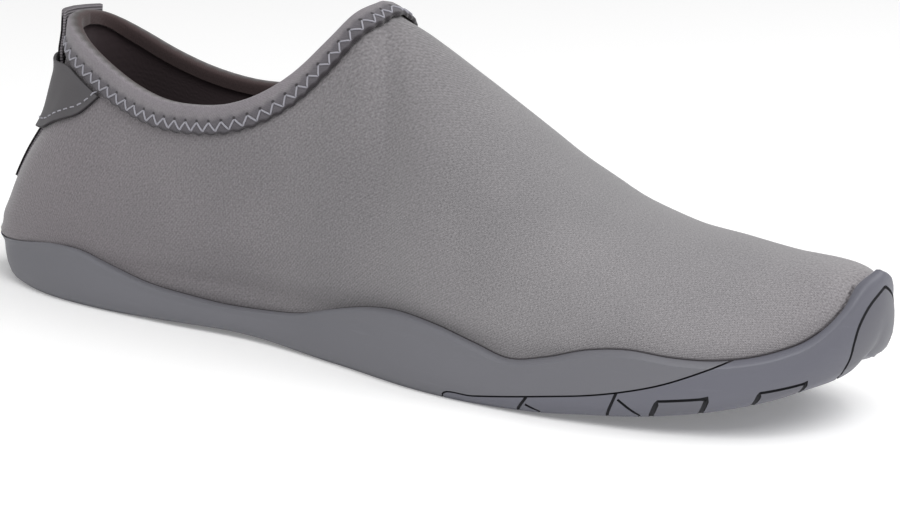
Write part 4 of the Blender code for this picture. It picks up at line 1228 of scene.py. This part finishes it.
def strapSkin(tree, uv, coords, colour, height):  # cross ribs, with painted light over the loop's crown
    along = splitVector(tree, uv)[1]
    wave = doMath(tree, "SINE", doMath(tree, "MULTIPLY", along, 2 * math.pi / heelLook["ribPitch"]))
    shade = addGrey(tree, remap(tree, wave, -1.0, 1.0, 0.5, 1.05))
    top = remap(tree, along, strapCrown - 2.2, strapCrown - 0.8)
    colour = mixColours(tree, top, colour, heelLook["loopTone"])
    colour = mixColours(tree, 1.0, colour, shade, "MULTIPLY")
    return colour, doMath(tree, "MULTIPLY_ADD", wave, 0.8, height)


strapPath = strapGrid()
strapLength = pathLength(strapPath[:, 6])
strapCrown = float(strapLength[strapPath[:, 6, 2].argmax()])


def makeStrap():
    run = np.gradient(strapPath, axis=0)
    away = unit(np.stack([-run[..., 2], np.zeros(run.shape[:2]), run[..., 0]], axis=2))
    uvs = np.zeros(strapPath.shape[:2] + (2,))
    uvs[:, :, 0] = np.linspace(-0.5, 0.5, 13)[None, :] * heelLook["width"]
    uvs[:, :, 1] = strapLength[:, None]
    piece = layGrid("pullStrap", strapPath + away * heelLook["strapWall"] * 0.5, uvs)
    giveMaterials(piece, clothMaterial("webbing", heelLook["strap"], pitch=0.5, bump=0.25,
                                       fleck=0.12, sheen=0.04, extra=strapSkin))
    applyModifier(piece, "SOLIDIFY", thickness=heelLook["strapWall"] * mm, offset=0)
    applyModifier(piece, "BEVEL", width=0.3 * mm, segments=2, limit_method="ANGLE",
                  angle_limit=math.radians(50))
    joinDoubles(piece)
    smoothShade(piece, 60)
    finishPiece(piece, heelLook["strapSlot"], "pull_strap")


makeStrap()


# insole: a thin sheet over the footbed, its height above it and how far in from the wall
insoleLook = {
    "slot": "insole", "tones": ((0.035, 0.03, 0.032), (0.05, 0.044, 0.045)),
    "edge": ((0.3, 0.7), (0.8, 0.0), (2.2, 0.0), (2.8, 0.25), (3.0, 0.8)), "clear": 0.5,
}


def makeInsole():
    lean = np.radians(readSmooth(ribShape, "share", "lean", ringShare))
    wall = (last["wall"] + last["gap"]) / np.cos(lean) + insoleLook["clear"]
    rings = []
    for height, inset in insoleLook["edge"]:
        level = footbed + height
        place = ribAt(np.maximum(level, footbed + last["gap"]))
        rings.append(np.column_stack([place - outward * (wall + inset)[:, None], level]))
    rings = [middleOf(rings[0], 1), middleOf(rings[0], 0.5), *rings,
             *[middleOf(rings[-1], s) for s in (0.2, 0.45, 0.7, 1)]]
    grid = np.array(rings).transpose(1, 0, 2)
    uvs = np.concatenate([grid, grid[:1]])[:, :, :2]
    piece = layGrid("insole", grid, uvs, closedRound=True)
    joinDoubles(piece)
    giveMaterials(piece, clothMaterial("insoleCloth", insoleLook["tones"], pitch=1.2, bump=0.2,
                                       fleck=0.2))
    smoothShade(piece, 60)
    finishPiece(piece, insoleLook["slot"], "insole")


makeInsole()


# camera: the photograph's place and direction; lights: large and soft
cameraView = {
    "turn": 29.49, "rise": 12.2, "roll": 3.89, "distance": 991.3, "focus": 3494.0,
    "image": (900, 528), "middle": (431.2, 225.7), "aim": (4.036, -0.327, 35.0),
}


def makeCamera():
    turn, lift, roll = (math.radians(cameraView[k]) for k in ("turn", "rise", "roll"))
    level = math.cos(lift)
    back = Vector((math.sin(turn) * level, -math.cos(turn) * level, math.sin(lift)))
    right = Vector((math.cos(turn), math.sin(turn), 0))
    up = back.cross(right)
    across = right * math.cos(roll) + up * math.sin(roll)
    upward = up * math.cos(roll) - right * math.sin(roll)
    place = (Vector(cameraView["aim"]) + back * cameraView["distance"]) * mm
    width, height = cameraView["image"]
    du, dv = (size / 2 - at for size, at in zip((width, height), cameraView["middle"]))
    z = -(across * du - upward * dv - back * cameraView["focus"]).normalized()
    x = (across - z * across.dot(z)).normalized()
    y = z.cross(x)
    bpy.ops.object.camera_add(location=place)
    camera = bpy.context.object
    camera.matrix_world = Matrix(((x.x, y.x, z.x, place.x), (x.y, y.y, z.y, place.y),
                                  (x.z, y.z, z.z, place.z), (0, 0, 0, 1)))
    camera.data.sensor_width = 36
    camera.data.lens = cameraView["focus"] * 36 / width
    camera.data.clip_start = 0.05
    camera.data.dof.use_dof = False
    bpy.context.scene.camera = camera


def makeLights():
    for name, place, aim, size, power in (
            ("key", (0.75, -0.65, 1.35), (0.03, 0, 0.04), 1.1, 15.5),
            ("fill", (-0.9, -1.0, 0.7), (0, 0, 0.04), 1.2, 3.3),
            ("back", (0.75, 0.8, 1.3), (0.03, 0, 0.05), 1.2, 12.0)):
        bpy.ops.object.light_add(type="AREA", location=place)
        light = bpy.context.object
        light.name = name
        light.data.shape = "SQUARE"
        light.data.size = size
        light.data.energy = power
        light.rotation_euler = (Vector(aim) - Vector(place)).to_track_quat("-Z", "Y").to_euler()
    world = bpy.data.worlds.new("studio")
    world.use_nodes = True
    background = world.node_tree.nodes["Background"]
    background.inputs["Color"].default_value = (1, 1, 1, 1)
    background.inputs["Strength"].default_value = 0.38
    bpy.context.scene.world = world
    bpy.context.scene.view_settings.view_transform = "Standard"


def makeFloor():
    bpy.ops.object.select_all(action="DESELECT")
    bpy.ops.mesh.primitive_plane_add(size=8, location=(0, 0, 0))
    floor = bpy.context.object
    floor.name = "floor"
    material, _, shader = newMaterial("paleFloor", 0.7)
    shader.inputs["Base Color"].default_value = (0.93, 0.93, 0.93, 1)
    shader.inputs["Emission Color"].default_value = (1, 1, 1, 1)
    shader.inputs["Emission Strength"].default_value = 0.16
    floor.data.materials.append(material)


makeCamera()
makeLights()
makeFloor()
